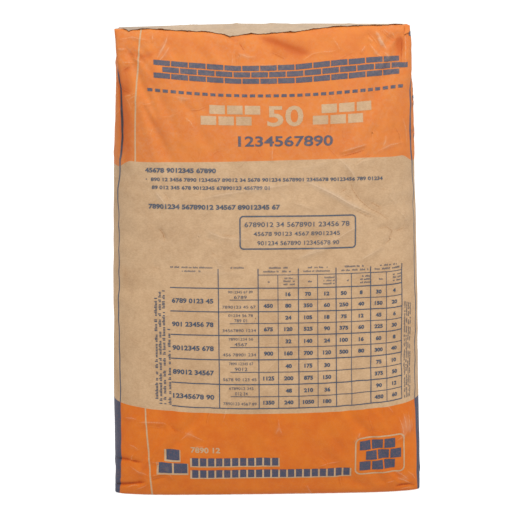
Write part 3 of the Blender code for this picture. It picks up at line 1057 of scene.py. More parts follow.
def make_printed_paper():
    """Kraft with its fields of ink, wear and dust.

    Fold is the crease height in millimetres. Rub is -1 where a sharp hollow gets painted shade, and 1 where
    an edge is rubbed pale and gets a painted highlight.
    Navy and Bare add ink or take it away all over.
    """
    inputs = [("Sheet", VECTOR), ("Place", VECTOR), ("Fold", FLOAT, 0.0), ("Rub", FLOAT, 0.0),
              ("Navy", FLOAT, 0.0), ("Bare", FLOAT, 0.0)]
    outputs = [("Color", COLOUR), ("Roughness", FLOAT), ("Grain", FLOAT)]
    tree, given, out = effect("printed_paper", inputs, outputs)
    place = given["Place"]
    along = parts_of(tree, given["Sheet"])["Y"]
    high = step_up(tree, along, HIGH_FROM, HIGH_TO)
    fields = use(tree, PRINT_FIELDS, Sheet=given["Sheet"])
    kraft = use(tree, KRAFT, Place=place, Ground=KRAFT_GROUND, Fibre=KRAFT_FIBRE)
    wear = use(tree, INK_WEAR, Place=place, Amount=WORN_INK)["Ink"]
    cloud = step_up(tree, noise(tree, place, *ORANGE_CLOUDS), 0.34, 0.68)
    # the orange is less deep towards the top
    deep = minus(tree, times_plus(tree, cloud, *DEEP_ORANGE), times(tree, high, LESS_DEEP_ABOVE))
    hollow = step_up(tree, given["Fold"], *HOLLOW_FOLD)
    # a hollow also turns the orange deeper, as painted shade
    orange = mixed(tree, plus(tree, deep, hollow, clamp=True), ORANGE_CLEAN, ORANGE_DEEP)
    inked = times(tree, fields["Orange"], minus(tree, 1.0, given["Bare"]))
    printed = times_plus(tree, high, PALER_ABOVE, times_plus(tree, wear, *ORANGE_COVER), clamp=True)
    colour = mixed(tree, times(tree, inked, printed), kraft["Color"], orange)
    navy = sums(tree, "MAXIMUM", fields["Navy"], given["Navy"])
    navy_cover = times(tree, navy, times_plus(tree, wear, *NAVY_COVER))
    colour = mixed(tree, navy_cover, colour, NAVY_INK)
    by_height = times_plus(tree, high, *DUST_SHARE)
    open_to_dust = times_plus(tree, hollow, DUST_IN_HOLLOW, by_height, clamp=True)
    dust = use(tree, DUST, Place=place, Amount=open_to_dust)["Dust"]
    ridge = times(tree, step_up(tree, given["Fold"], *RIDGE_FOLD), DUST_ON_RIDGE)
    colour = mixed(tree, plus(tree, dust, ridge, clamp=True), colour, DUST_COLOUR)
    # painted highlight and rubbed wear, on the lit side of a crease's ribbon
    pale = times(tree, step_up(tree, given["Rub"], 0.0, 1.0), RUB_AND_HIGHLIGHT_SHARE)
    colour = mixed(tree, pale, colour, RUB_AND_HIGHLIGHT_COLOUR)
    # painted shade, in a crease's hollow and on the dark side of its ribbon
    dark = times_plus(tree, hollow, HOLLOW_PAINTED_SHADE_SHARE, step_up(tree, given["Rub"], 0.0, -1.0), clamp=True)
    feed(tree, out["Color"], mixed(tree, dark, colour, HOLLOW_SHADE, "MULTIPLY"))
    feed(tree, out["Roughness"], times_plus(tree, dust, *PAPER_ROUGHNESS))
    feed(tree, out["Grain"], kraft["Height"])
    return tree


PRINTED_PAPER = make_printed_paper()
print("printed paper:", len(PRINTED_PAPER.nodes), "nodes")

# %% [markdown]
# Three materials share that group: the paper with its fields, the navy ink laid over it, and the
# places where the orange was left out, so that bare kraft shows as pale figures. All bump comes
# from the same coordinates, so ink and paper share one grain.

# %% Make the paper and ink materials
PAPER_SHEEN = 0.2  # less than half of a smooth surface's
# How many crumples to the metre, then distance in metres and strength of the crumples and the grain
TUBE_RELIEF = (16.0, (0.005, 0.40), (0.0004, 0.28))


def give_relief(tree, shader, place, grain, relief):
    """Bends a paper's normal by crumples and, on top of them, by its grain."""
    rate, (fold_depth, fold_strength), (grain_depth, grain_strength) = relief
    shader.inputs["Specular IOR Level"].default_value = PAPER_SHEEN
    crumple = use(tree, CRUMPLE, Place=place, Scale=rate)["Height"]
    crumpled = {"Height": crumple, "Distance": fold_depth, "Strength": fold_strength}
    folds = node(tree, "ShaderNodeBump", crumpled)
    grained = node(tree, "ShaderNodeBump", {
        "Height": grain, "Distance": grain_depth, "Strength": grain_strength, "Normal": folds.outputs[0]
    })
    feed(tree, shader.inputs["Normal"], grained.outputs[0])


def paper_material(name, navy=0.0, bare=0.0):
    material = bpy.data.materials.new(name)
    material.use_nodes = True
    tree = material.node_tree
    shader = tree.nodes["Principled BSDF"]
    place = node(tree, "ShaderNodeTexCoord").outputs["Object"]
    sheet = node(tree, "ShaderNodeUVMap", uv_map="sheet").outputs["UV"]
    fold, rub = (
        node(tree, "ShaderNodeAttribute", attribute_name=kept).outputs["Fac"] for kept in ("fold", "rub")
    )
    paper = use(tree, PRINTED_PAPER, Sheet=sheet, Place=place, Fold=fold, Rub=rub, Navy=navy, Bare=bare)
    feed(tree, shader.inputs["Base Color"], paper["Color"])
    feed(tree, shader.inputs["Roughness"], paper["Roughness"])
    give_relief(tree, shader, place, paper["Grain"], TUBE_RELIEF)
    return material


printed_paper = paper_material("printed_kraft")
navy_ink = paper_material("navy_ink", navy=1.0)
bare_figures = paper_material("bare_kraft_figures", bare=1.0)
sack.data.materials.append(printed_paper)
print("materials:", [m.name for m in (printed_paper, navy_ink, bare_figures)])

# %% [markdown]
# Small ink is made as real thin geometry, because it must stay sharp. It is drawn flat, in the
# sheet's metres, and laid on the sack at the end. Two geometry trees draw what repeats: rows of
# bricks in stretcher bond, and lines of small print. Small print on a sack is never read from
# afar, so here it is only a row of strokes in word-long runs.

# %% A tree that draws rows of bricks
CUT = 0.0026  # the largest step of the ink's mesh, so that it bends with the paper


def number_of_cuts(tree, length):
    """How many mesh lines a side of this length needs."""
    steps = plus(tree, sums(tree, "DIVIDE", length, CUT), 2.0)
    return node(tree, "FunctionNodeFloatToInt", {0: steps}, rounding_mode="FLOOR").outputs[0]


def line_of_points(tree, inputs):
    """A row of points, and each point's number in it."""
    spots = node(tree, "GeometryNodeMeshLine", inputs).outputs["Mesh"]
    return spots, node(tree, "GeometryNodeInputIndex").outputs[0]


def realized(tree, geometry):
    return node(tree, "GeometryNodeRealizeInstances", {"Geometry": geometry}).outputs[0]


def in_ink(tree, geometry, ink):
    return node(tree, "GeometryNodeSetMaterial", {"Geometry": geometry, "Material": ink}).outputs[0]


def make_brick_rows():
    inputs = [("Columns", WHOLE, 3), ("Courses", WHOLE, 2), ("Corner", VECTOR), ("Length", FLOAT, 0.02),
              ("Height", FLOAT, 0.01), ("Joint", FLOAT, 0.001), ("Shift", FLOAT, 0.5), ("Ink", MATERIAL)]
    tree, given, out = new_tree("brick_rows", "GeometryNodeTree", inputs, [("Mesh", MESH)])
    count = times(tree, given["Columns"], given["Courses"])
    spots, index = line_of_points(tree, {"Count": count})
    column = sums(tree, "MODULO", index, given["Columns"])
    course = sums(tree, "FLOOR", sums(tree, "DIVIDE", index, given["Columns"]))
    shift = times(tree, sums(tree, "MODULO", course, 2.0), given["Shift"])
    x = times(tree, plus(tree, plus(tree, column, shift), 0.5), given["Length"])
    y = times(tree, plus(tree, course, 0.5), given["Height"])
    place = shifted(tree, vector_of(tree, x, y), given["Corner"])
    spots = node(tree, "GeometryNodeSetPosition", {"Geometry": spots, "Position": place}).outputs[0]
    wide = minus(tree, given["Length"], given["Joint"])
    tall = minus(tree, given["Height"], given["Joint"])
    brick = node(tree, "GeometryNodeMeshGrid", {
        "Size X": wide, "Size Y": tall, "Vertices X": number_of_cuts(tree, wide),
        "Vertices Y": number_of_cuts(tree, tall)
    }).outputs["Mesh"]
    rows = node(tree, "GeometryNodeInstanceOnPoints", {"Points": spots, "Instance": brick}).outputs[0]
    feed(tree, out["Mesh"], in_ink(tree, realized(tree, rows), given["Ink"]))
    return tree


BRICK_ROWS = make_brick_rows()
print("brick tree:", len(BRICK_ROWS.nodes), "nodes")

# %% [markdown]
# A line of small print is a row of thin strokes. A noise along the line leaves some out, so that
# words and spaces come about, and about every third stroke is a tall one, as in real type.

# %% A tree that draws lines of strokes
WORD_DRIFT, SEED_DRIFT, SPACE_BELOW = 0.29, 7.31, 0.42  # steps through that noise, and where it leaves out
STROKE_WIDTH = 0.6  # of the distance between two strokes
TALL_FROM, TALL_TO, TALL_EXTRA, LOW_STROKE = 0.45, 0.75, 0.32, 0.68


def make_small_print():
    inputs = [("Count", WHOLE, 10), ("Start", VECTOR), ("Pitch", FLOAT, 0.002), ("Height", FLOAT, 0.004),
              ("Turn", FLOAT, 0.0), ("Seed", WHOLE, 0), ("Ink", MATERIAL)]
    tree, given, out = new_tree("small_print", "GeometryNodeTree", inputs, [("Mesh", MESH)])
    spots, index = line_of_points(tree, {"Count": given["Count"], "Offset": vector_of(tree, given["Pitch"])})
    drift = times_plus(tree, index, WORD_DRIFT, times(tree, given["Seed"], SEED_DRIFT))
    word = node(tree, "ShaderNodeTexNoise", {"W": drift, "Scale": 1.0, "Detail": 1.0}, noise_dimensions="1D")
    blank = node(tree, "FunctionNodeCompare", {"A": word.outputs[0], "B": SPACE_BELOW}, operation="LESS_THAN")
    left_out = {"Geometry": spots, "Selection": blank.outputs[0]}
    spots = node(tree, "GeometryNodeDeleteGeometry", left_out).outputs[0]
    stroke = node(tree, "GeometryNodeMeshGrid", {
        "Size X": times(tree, given["Pitch"], STROKE_WIDTH), "Size Y": given["Height"],
        "Vertices X": 2, "Vertices Y": 2
    }).outputs["Mesh"]
    half = vector_of(tree, y=times(tree, given["Height"], 0.5))
    raised = node(tree, "GeometryNodeTransform", {"Geometry": stroke, "Translation": half}).outputs[0]
    any_share = {"Min": 0.0, "Max": 1.0, "Seed": given["Seed"]}
    lot = node(tree, "FunctionNodeRandomValue", any_share, data_type="FLOAT")
    extra = step_up(tree, lot.outputs["Value"], TALL_FROM, TALL_TO)
    grow = vector_of(tree, 1.0, times_plus(tree, extra, TALL_EXTRA, LOW_STROKE), 1.0)
    strokes = {"Points": spots, "Instance": raised, "Scale": grow}
    line = realized(tree, node(tree, "GeometryNodeInstanceOnPoints", strokes).outputs[0])
    turned = {"Geometry": line, "Translation": given["Start"], "Rotation": vector_of(tree, z=given["Turn"])}
    placed = node(tree, "GeometryNodeTransform", turned).outputs[0]
    feed(tree, out["Mesh"], in_ink(tree, placed, given["Ink"]))
    return tree


SMALL_PRINT = make_small_print()
print("stroke tree:", len(SMALL_PRINT.nodes), "nodes")

# %% [markdown]
# A drawing tree is run on an object of its own, which is removed again, so that only a plain mesh
# stays. The tree's inputs are set on the modifier by their identifiers, because their names are
# only labels.

# %% Run a drawing tree
def turned_to_mesh(host):
    """What an object looks like, as a plain mesh. The object itself is removed."""
    mesh = bpy.data.meshes.new_from_object(host.evaluated_get(bpy.context.evaluated_depsgraph_get()))
    bpy.data.objects.remove(host, do_unlink=True)
    return mesh


def grown(tree, start=None, **settings):
    """Runs a geometry tree on a mesh, or on none, and returns the result as a plain mesh."""
    host = in_scene(tree.name, start or bpy.data.meshes.new(tree.name))
    modifier = host.modifiers.new(tree.name, "NODES")
    modifier.node_group = tree
    for item in tree.interface.items_tree:
        if item.in_out == "INPUT" and item.name.replace(" ", "_") in settings:
            modifier[item.identifier] = settings[item.name.replace(" ", "_")]
    return turned_to_mesh(host)


trial = grown(BRICK_ROWS, Columns=3, Courses=2)
print("six bricks come out as", len(trial.polygons), "faces")
bpy.data.meshes.remove(trial)

# %% [markdown]
# The rest of the artwork is rules, plates, a frame and numbers. A small drawing board collects
# it all in one flat mesh. Each bar is cut into short steps, and numbers, which Blender's own font
# gives as filled outlines, are cut by a grid of planes for the same reason.

# %% The drawing board
CORNER_STEPS, CORNER_TURN = 7, 15  # points on a frame's round corner, and degrees between them
PATCH_ROWS, PATCH_COLUMNS = 9, 7


class DrawingBoard:
    """Collects flat ink in the sheet's coordinates."""

    def __init__(self, name, material):
        self.name = name
        self.material = material
        self.shape = bmesh.new()
        # per point: above 0 pale rubbed wear and painted highlight, below 0 painted shade
        self.rubbed = self.shape.verts.layers.float.new("rub")

    def bar(self, left, right, low, high):
        columns = max(2, math.ceil((right - left) / CUT) + 1)
        rows = max(2, math.ceil((high - low) / CUT) + 1)
        grid = [[self.shape.verts.new((x, y, 0.0)) for x in np.linspace(left, right, columns)]
                for y in np.linspace(low, high, rows)]
        for lower, upper in zip(grid, grid[1:]):
            for i in range(columns - 1):
                self.shape.faces.new((lower[i], lower[i + 1], upper[i + 1], upper[i]))

    def outline(self, left, right, low, high, corner, line):
        """A frame of one line with round corners."""
        path = []
        for x, y, first in ((right, low, -90), (right, high, 0), (left, high, 90), (left, low, 180)):
            middle = Vector((x - math.copysign(corner, x - (left + right) / 2),
                             y - math.copysign(corner, y - (low + high) / 2)))
            for step in range(CORNER_STEPS):
                angle = math.radians(first + CORNER_TURN * step)
                path.append((middle, Vector((math.cos(angle), math.sin(angle)))))
        rings = []
        for i, (middle, way) in enumerate(path):
            rings.append((middle + way * corner, middle + way * (corner - line)))
            after, next_way = path[(i + 1) % len(path)]
            if i % CORNER_STEPS == CORNER_STEPS - 1:
                run = (after + next_way * corner) - (middle + way * corner)
                for step in range(1, math.ceil(run.length / CUT)):
                    shift = run * step / math.ceil(run.length / CUT)
                    rings.append((middle + way * corner + shift, middle + way * (corner - line) + shift))
        points = [[self.shape.verts.new((*p, 0.0)) for p in pair] for pair in rings]
        for one, other in zip(points, points[1:] + points[:1]):
            self.shape.faces.new((one[0], other[0], other[1], one[1]))

    def add(self, mesh):
        self.shape.from_mesh(mesh)
        bpy.data.meshes.remove(mesh)

    def bricks(self, columns, courses, left, low, length, height, joint, shift=0.5):
        self.add(grown(BRICK_ROWS, Columns=columns, Courses=courses, Corner=(left, low, 0.0), Length=length,
                       Height=height, Joint=joint, Shift=shift, Ink=self.material))

    def words(self, left, right, low, high, pitch, seed, upright=False):
        start, turn = ((left, low, 0.0), 0.0) if not upright else ((right, low, 0.0), math.pi / 2)
        length, tall = (high - low, right - left) if upright else (right - left, high - low)
        self.add(grown(SMALL_PRINT, Count=int(length / pitch), Start=start, Pitch=pitch, Height=tall,
                       Turn=turn, Seed=seed, Ink=self.material))

    def patch(self, corners, relief):
        """A four-cornered sheet, whose corners stand off the paper by the given metres."""
        rows = []
        for share_up in np.linspace(0, 1, PATCH_ROWS):
            row = []
            for share_across in np.linspace(0, 1, PATCH_COLUMNS):
                weights = ((1 - share_across) * (1 - share_up), share_across * (1 - share_up),
                           share_across * share_up, (1 - share_across) * share_up)
                x, y, z = (sum(w * v for w, v in zip(weights, line))
                           for line in (*zip(*corners), relief))
                row.append(self.shape.verts.new((x, y, z)))
            rows.append(row)
        for lower, upper in zip(rows, rows[1:]):
            for i in range(len(lower) - 1):
                self.shape.faces.new((lower[i], lower[i + 1], upper[i + 1], upper[i]))

    def done(self):
        mesh = bpy.data.meshes.new(self.name)
        for face in self.shape.faces:
            face.material_index = 0
            if face.normal.z < 0:
                face.normal_flip()
        self.shape.to_mesh(mesh)
        self.shape.free()
        return mesh


print("a brick's mesh is cut every", CUT * 1000, "mm")

# %% [markdown]
# Numbers come from Blender's own font. They are cut by a grid of planes, so that they bend with the
# paper. Running digits in groups as long as words make up the lines of print.

# %% Numbers on the board
DIGIT_HEIGHT = 0.73  # height of a digit in Blender's font of size 1
DIGIT_PITCH = 0.82  # width of a running digit with its space, in digit heights
DIGIT_CURVE_STEPS, DIGIT_WELD, PLANE_MARGIN = 3, 1e-6, 1e-7
LINE_BOLD = 0.045  # how much bolder than the font, in digit heights


def digits_mesh(text, height, bold):
    """Digits as a filled outline, with their points joined."""
    curve = bpy.data.curves.new("digits", "FONT")
    curve.body = text
    curve.align_x = "CENTER"
    curve.size = height / DIGIT_HEIGHT
    curve.offset = bold * height
    curve.resolution_u = DIGIT_CURVE_STEPS
    host = in_scene("digits", curve)
    mesh = turned_to_mesh(host)
    drawn = bmesh.new()
    drawn.from_mesh(mesh)
    bpy.data.meshes.remove(mesh)
    bmesh.ops.remove_doubles(drawn, verts=drawn.verts, dist=DIGIT_WELD)
    return drawn


def draw_number(board, text, middle, low, height, stretch=1.0, bold=0.02, width=None):
    """Digits with their middle and foot on the sheet, drawn wider or to a width."""
    drawn = digits_mesh(text, height, bold)
    left, right = min(v.co.x for v in drawn.verts), max(v.co.x for v in drawn.verts)
    if width:
        stretch = width / (right - left)
    for vert in drawn.verts:
        vert.co = Vector((middle + (vert.co.x - (left + right) / 2) * stretch, low + vert.co.y, 0.0))
    places = [vert.co for vert in drawn.verts]
    for axis, way in ((0, Vector((1, 0, 0))), (1, Vector((0, 1, 0)))):
        start, end = min(p[axis] for p in places), max(p[axis] for p in places)
        for at in np.arange(start + CUT, end, CUT):
            geometry = drawn.verts[:] + drawn.edges[:] + drawn.faces[:]
            bmesh.ops.bisect_plane(drawn, geom=geometry, dist=PLANE_MARGIN, plane_co=way * at, plane_no=way)
    finished = bpy.data.meshes.new("digits")
    drawn.to_mesh(finished)
    drawn.free()
    board.add(finished)


def running_numbers(board, left, right, low, height, seed, bold=LINE_BOLD):
    """A line of running digits in groups as long as words, fitted between two ends."""
    lot = np.random.default_rng(seed)
    wanted = (right - left) / (height * DIGIT_PITCH)
    groups, digit = [], int(lot.integers(0, 10))
    while sum(len(group) + 1 for group in groups) < wanted:
        length = int(min(lot.integers(2, 9), max(2, wanted - sum(len(group) + 1 for group in groups))))
        groups.append("".join(str((digit + i) % 10) for i in range(length)))
        digit += length
    draw_number(board, " ".join(groups), (left + right) / 2, low, height, bold=bold, width=right - left)


print("a digit is", DIGIT_HEIGHT, "of the font's size high")

# %% [markdown]
# Where a crease is sharp, a narrow ribbon paints its edge on the side of the light pale, as rubbed
# wear and a painted highlight, and its hollow dark, as painted shade. It fades out at its ends and
# wavers a little on its way.

# %% Rubbed creases on the board
RUB_STEP = 0.0013
RUB_LIGHT = Vector((0.5, 0.85))  # which way on the sheet the light comes from
RUB_PER_HEIGHT, RUB_LEAST = 0.55, 0.25
# a wider crease gets no ribbon of rubbed wear, painted highlight and painted shade
RUB_WIDEST = 4.5  # a crease wider than this, in millimetres, is too soft to be rubbed
RUB_DEEP = -1.15  # a hollow deeper than this has no lit side
RUB_STEADY, RUB_WAVER, WAVER_PER_STEP, WAVER_PER_METRE = 0.75, 0.25, 1.1, 900
# Across a ribbon: metres towards the light, and the value on a ridge, in a hollow and in a deep one:
# above 0 is rubbed wear and painted highlight, below 0 is painted shade
RUB_AND_SHADE_PROFILE = ((-0.0022, 0.0, 0.0, 0.0), (-0.0008, -0.55, -1.0, -1.0), (0.0004, 1.0, 0.5, -1.0),
               (0.0018, 0.0, 0.0, 0.4))


def spots_along(path):
    """Places on the sheet at short steps along a path that is given in millimetres."""
    ends = [Vector(point) / 1000 for point in path]
    spots = []
    for start, end in zip(ends, ends[1:]):
        count = max(1, math.ceil((end - start).length / RUB_STEP))
        spots += [start.lerp(end, i / count) for i in range(count)]
    return spots + [ends[-1]]


def draw_rub(board, height, path):
    """A hair-thin ribbon along a crease, pale on the side of the light and dark on the other."""
    spots = spots_along(path)
    last = len(spots) - 1
    rows = []
    for i, spot in enumerate(spots):
        way = spots[min(i + 1, last)] - spots[max(i - 1, 0)]
        lit = Vector((-way.y, way.x)).normalized()
        lit *= math.copysign(1.0, lit.dot(RUB_LIGHT))
        waver = RUB_STEADY + RUB_WAVER * math.sin(WAVER_PER_STEP * i + WAVER_PER_METRE * spot.x)
        lasting = (1.0 - abs(2.0 * i / last - 1.0) ** 3) * waver
        strength = min(1.0, abs(height) * RUB_PER_HEIGHT + RUB_LEAST) * lasting
        row = []
        for offset, ridge, hollow, deep in RUB_AND_SHADE_PROFILE:
            row.append(board.shape.verts.new((*(spot + lit * offset), 0.0)))
            shade = ridge if height > 0.0 else deep if height < RUB_DEEP else hollow
            row[-1][board.rubbed] = strength * shade
        rows.append(row)
    for one, other in zip(rows, rows[1:]):
        for i in range(len(RUB_AND_SHADE_PROFILE) - 1):
            board.shape.faces.new((one[i], one[i + 1], other[i + 1], other[i]))


print("creases up to", RUB_WIDEST, "mm wide are rubbed:", sum(row[1] <= RUB_WIDEST for row in ALL_CREASES))

# %% [markdown]
# The layout. Lengths are on the flat sheet, from the middle of the front and from the bottom
# fold. A ruled table of round numbers fills the middle, with a frame above it. A frieze of bricks
# heads the sack, and brick motifs end it. The table comes first: thick and thin rules, lines of
# small print in its head, and a number in most of its fields.

# %% Draw the table
TABLE_LEFT, TABLE_LOW, TABLE_HEAD, TABLE_TOP = -0.1320, 0.1370, 0.2975, 0.3240
TABLE_ROW, TABLE_ROWS, TABLE_LABEL = 0.0321, 5, -0.0520
TABLE_THICK = (-0.0670, -0.0135, 0.0405, 0.0915, 0.1395, 0.1865)
TABLE_THIN = (0.0130, 0.0665, 0.1125, 0.1625)
THICK_RULE, THIN_RULE = 0.0013, 0.0009
HEAD_WORDS = (
    # left, right, low, high and distance between strokes in metres, and seed
    (-0.1310, -0.0730, 0.3245, 0.3268, 0.0014, 41),
    (-0.1150, -0.0890, 0.3195, 0.3218, 0.0014, 43),
    (-0.0500, -0.0310, 0.3245, 0.3268, 0.0014, 42),
)
ROW_NUMBERS = (
    # left, right, foot above the row's middle, height, first seed and boldness
    (-0.1300, -0.0740, -0.0045, 0.0062, 70, LINE_BOLD),
    (-0.0540, -0.0210, 0.0092, 0.0036, 80, 0.0),
    (-0.0460, -0.0290, 0.0018, 0.0044, 90, 0.0),
    (-0.0620, -0.0170, -0.0115, 0.0040, 100, 0.0),
)

def rule_across(board, left, right, at, thick):
    board.bar(left, right, at - thick / 2, at + thick / 2)


def rule_up(board, at, low, high, thick):
    board.bar(at - thick / 2, at + thick / 2, low, high)


def draw_table(board):
    second = TABLE_HEAD + 0.018
    edges = sorted((*TABLE_THICK[1:], *TABLE_THIN))
    for at in TABLE_THICK:
        rule_up(board, at, TABLE_LOW, TABLE_TOP, THICK_RULE)
    for at in TABLE_THIN:
        rule_up(board, at, TABLE_LOW, second, THIN_RULE)
    rule_across(board, TABLE_THICK[1], TABLE_THICK[-1], second, THIN_RULE)
    for row in range(TABLE_ROWS + 1):
        at = TABLE_HEAD - row * TABLE_ROW
        rule_across(board, TABLE_LEFT, TABLE_THICK[-1], at, THICK_RULE)
        if row < TABLE_ROWS:
            rule_across(board, TABLE_THICK[1], TABLE_THICK[-1], at - TABLE_ROW / 2, THIN_RULE)
            rule_across(board, TABLE_LABEL, TABLE_THICK[1], at - TABLE_ROW / 2, THIN_RULE)
    for line in HEAD_WORDS:
        board.words(*line)
    for i, left in enumerate((-0.006, 0.048, 0.098, 0.146)):
        board.words(left + 0.006, left + 0.034, 0.3240, 0.3265, 0.0015, 51 + i)
        board.words(left, left + 0.040, 0.3190, 0.3215, 0.0015, 55 + i)
        board.words(left + 0.006, left + 0.012, 0.3050, 0.3075, 0.0014, 61 + i)
        for j in range(3):
            low, seed = 0.3015 + 0.0042 * j, 110 + 3 * i + j
            board.words(left + 0.0270, left + 0.0430, low, 0.3040 + 0.0042 * j, 0.0014, seed)
    for row in range(TABLE_ROWS):
        middle = TABLE_HEAD - (row + 0.5) * TABLE_ROW
        for left, right, foot, height, seed, bold in ROW_NUMBERS:
            running_numbers(board, left, right, middle + foot, height, seed + row, bold)
        for column, (left, right) in enumerate(zip(edges, edges[1:])):
            for half in range(2):
                if (column, half) == (0, 0) or (row > 2 and column in (4, 5)):
                    continue
                value = (row + 2) * (9 - column) * (5 if half else 1) * (5 if column % 2 == 0 else 1)
                low = middle + (0.0052 if half == 0 else -0.0105)
                draw_number(board, str(value), (left + right) / 2, low, 0.0050, 1.2, 0.06)


print("table:", TABLE_ROWS, "rows between", len(TABLE_THICK), "thick rules and", len(TABLE_THIN), "thin ones")

# %% [markdown]
# The rest of the navy print: the frieze, the lines of running digits with a frame round the last
# three, upright lines at both sides, and the bricks at the foot.

# %% Draw the navy print
HEAD_BRICKS = (
    # columns, courses, left, low, length, height, joint, and shift of every second course
    (14, 3, -0.1500, 0.5700, 0.0236, 0.0080, 0.0016, 0.5),
    (33, 1, -0.1600, 0.5520, 0.0105, 0.0072, 0.0036, 0.0),
)
NUMBER_LINES = (
    # left, right, foot, height, seed and boldness
    (-0.1640, -0.0680, 0.4535, 0.0060, 1, 0.06),
    (-0.1560, 0.1560, 0.4418, 0.0047, 2, LINE_BOLD),
    (-0.1550, 0.0030, 0.4310, 0.0047, 3, LINE_BOLD),
    (-0.1600, 0.0170, 0.4045, 0.0062, 4, 0.06),
    (-0.0310, 0.1100, 0.3808, 0.0066, 5, 0.015),
    (-0.0190, 0.0970, 0.3687, 0.0056, 6, 0.015),
    (-0.0140, 0.0960, 0.3560, 0.0058, 7, 0.015),
)
FOOT_BRICKS = (
    (2, 1, -0.1520, 0.0380, 0.0208, 0.0180, 0.0026, 0.0),
    (1, 1, -0.1416, 0.0580, 0.0208, 0.0180, 0.0026, 0.0),
    (11, 1, -0.1065, 0.0500, 0.0109, 0.0150, 0.0024, 0.0),
    (20, 1, -0.1065, 0.0310, 0.0109, 0.0150, 0.0024, 0.0),
    (3, 3, 0.1225, 0.0385, 0.0176, 0.0155, 0.0022, 0.5),
)


def draw_navy():
    board = DrawingBoard("navy_print", navy_ink)
    for row in HEAD_BRICKS:
        board.bricks(*row)
    draw_number(board, "1234567890", 0.0250, 0.4890, 0.0135, 1.42, 0.03)
    for line in NUMBER_LINES:
        running_numbers(board, *line)
    board.bar(-0.1632, -0.1616, 0.4432, 0.4448)
    board.outline(-0.0380, 0.1190, 0.3500, 0.3960, 0.0055, 0.0019)
    draw_table(board)
    for i, (at, top) in enumerate(((-0.1545, 0.284), (-0.1490, 0.293), (-0.1435, 0.296), (-0.1365, 0.244))):
        board.words(at, at + 0.0040, 0.139, top, 0.0021, 20 + i, upright=True)
    for i in range(4):
        board.words(0.1905 + 0.0034 * i, 0.1925 + 0.0034 * i, 0.137, 0.272, 0.0014, 30 + i, upright=True)
    for row in FOOT_BRICKS:
        board.bricks(*row)
    board.words(0.2010, 0.2200, 0.4900, 0.5560, 0.0078, 44, upright=True)
    board.patch(((0.1935, 0.6190), (0.1985, 0.6175), (0.1990, 0.6240), (0.1930, 0.6262)), (0.0,) * 4)
    return board.done()


flat_navy = draw_navy()
print("navy print:", len(flat_navy.polygons), "flat faces")

# %% [markdown]
# Where the orange was left out, kraft shows: a large number between bricks, a line of digits, and
# pale grounds at the foot. The creases' ribbons of rubbed wear, painted highlight and painted shade,
# and the ear at the top right, are paper too.

# %% Draw the bare figures, the rubs and the ear
BARE_BRICKS = (
    (3, 2, -0.0890, 0.5150, 0.0235, 0.0145, 0.0030),
    (3, 2, 0.0600, 0.5150, 0.0235, 0.0145, 0.0030),
)
BARE_BARS = (
    (-0.1080, 0.0140, 0.0494, 0.0632),
    (-0.1080, 0.1125, 0.0304, 0.0442),
    (-0.1535, -0.1105, 0.0366, 0.0548),
    (-0.1431, -0.1209, 0.0566, 0.0748),
)


def draw_bare():
    board = DrawingBoard("bare_print", bare_figures)
    draw_number(board, "50", 0.0250, 0.5160, 0.0270, 1.35, 0.03)
    for row in BARE_BRICKS:
        board.bricks(*row)
    running_numbers(board, -0.1070, -0.0670, 0.0720, 0.0080, 8)
    for edges in BARE_BARS:
        board.bar(*edges)
    board.outline(0.1170, 0.1885, 0.0330, 0.0890, 0.0080, 0.0020)
    return board.done()


def draw_rubs():
    """The worn edges, painted highlights and painted shade of the narrow creases, as ribbons of the same
    paper.
    """
    board = DrawingBoard("rubbed_creases", printed_paper)
    for height, width, path in ALL_CREASES:
        if width <= RUB_WIDEST:
            draw_rub(board, height, path)
    return board.done()


def draw_ear():
    """The corner of an inner ply that stands out at the right of the top end."""
    board = DrawingBoard("corner_ear", printed_paper)
    corners = ((0.1860, 0.6205), (0.1925, 0.6235), (0.1965, 0.6320), (0.1880, 0.6350))
    board.patch(corners, (0.0026, 0.0022, 0.0006, 0.0003))
    return board.done()


flat_bare, flat_rubs_and_shades, flat_ear = draw_bare(), draw_rubs(), draw_ear()
print("flat faces:", [(mesh.name, len(mesh.polygons)) for mesh in (flat_bare, flat_rubs_and_shades, flat_ear)])

# %% [markdown]
# The artwork is laid on the sack by its sheet coordinates. For each point of ink, the tree finds
# the place on the sack with the same coordinates, and puts the point there, a hair above the
# paper along its normal. The flat coordinates are kept, because the ink's material reads them.

# %% Lay the ink on the sack
INK_LIFT = {"rubs_and_shades": 0.00010, "bare": 0.00022, "navy": 0.00036}
INK_SQUARE = (1.05, 1.5, 0.0)  # squares for each metre round and up, in the map for baked colours


def stored(tree, geometry, name, value, kind, domain):
    """Keeps a field on the geometry under a name."""
    inputs = {"Geometry": geometry, "Name": name, "Value": value}
    return node(tree, "GeometryNodeStoreNamedAttribute", inputs, data_type=kind, domain=domain).outputs[0]


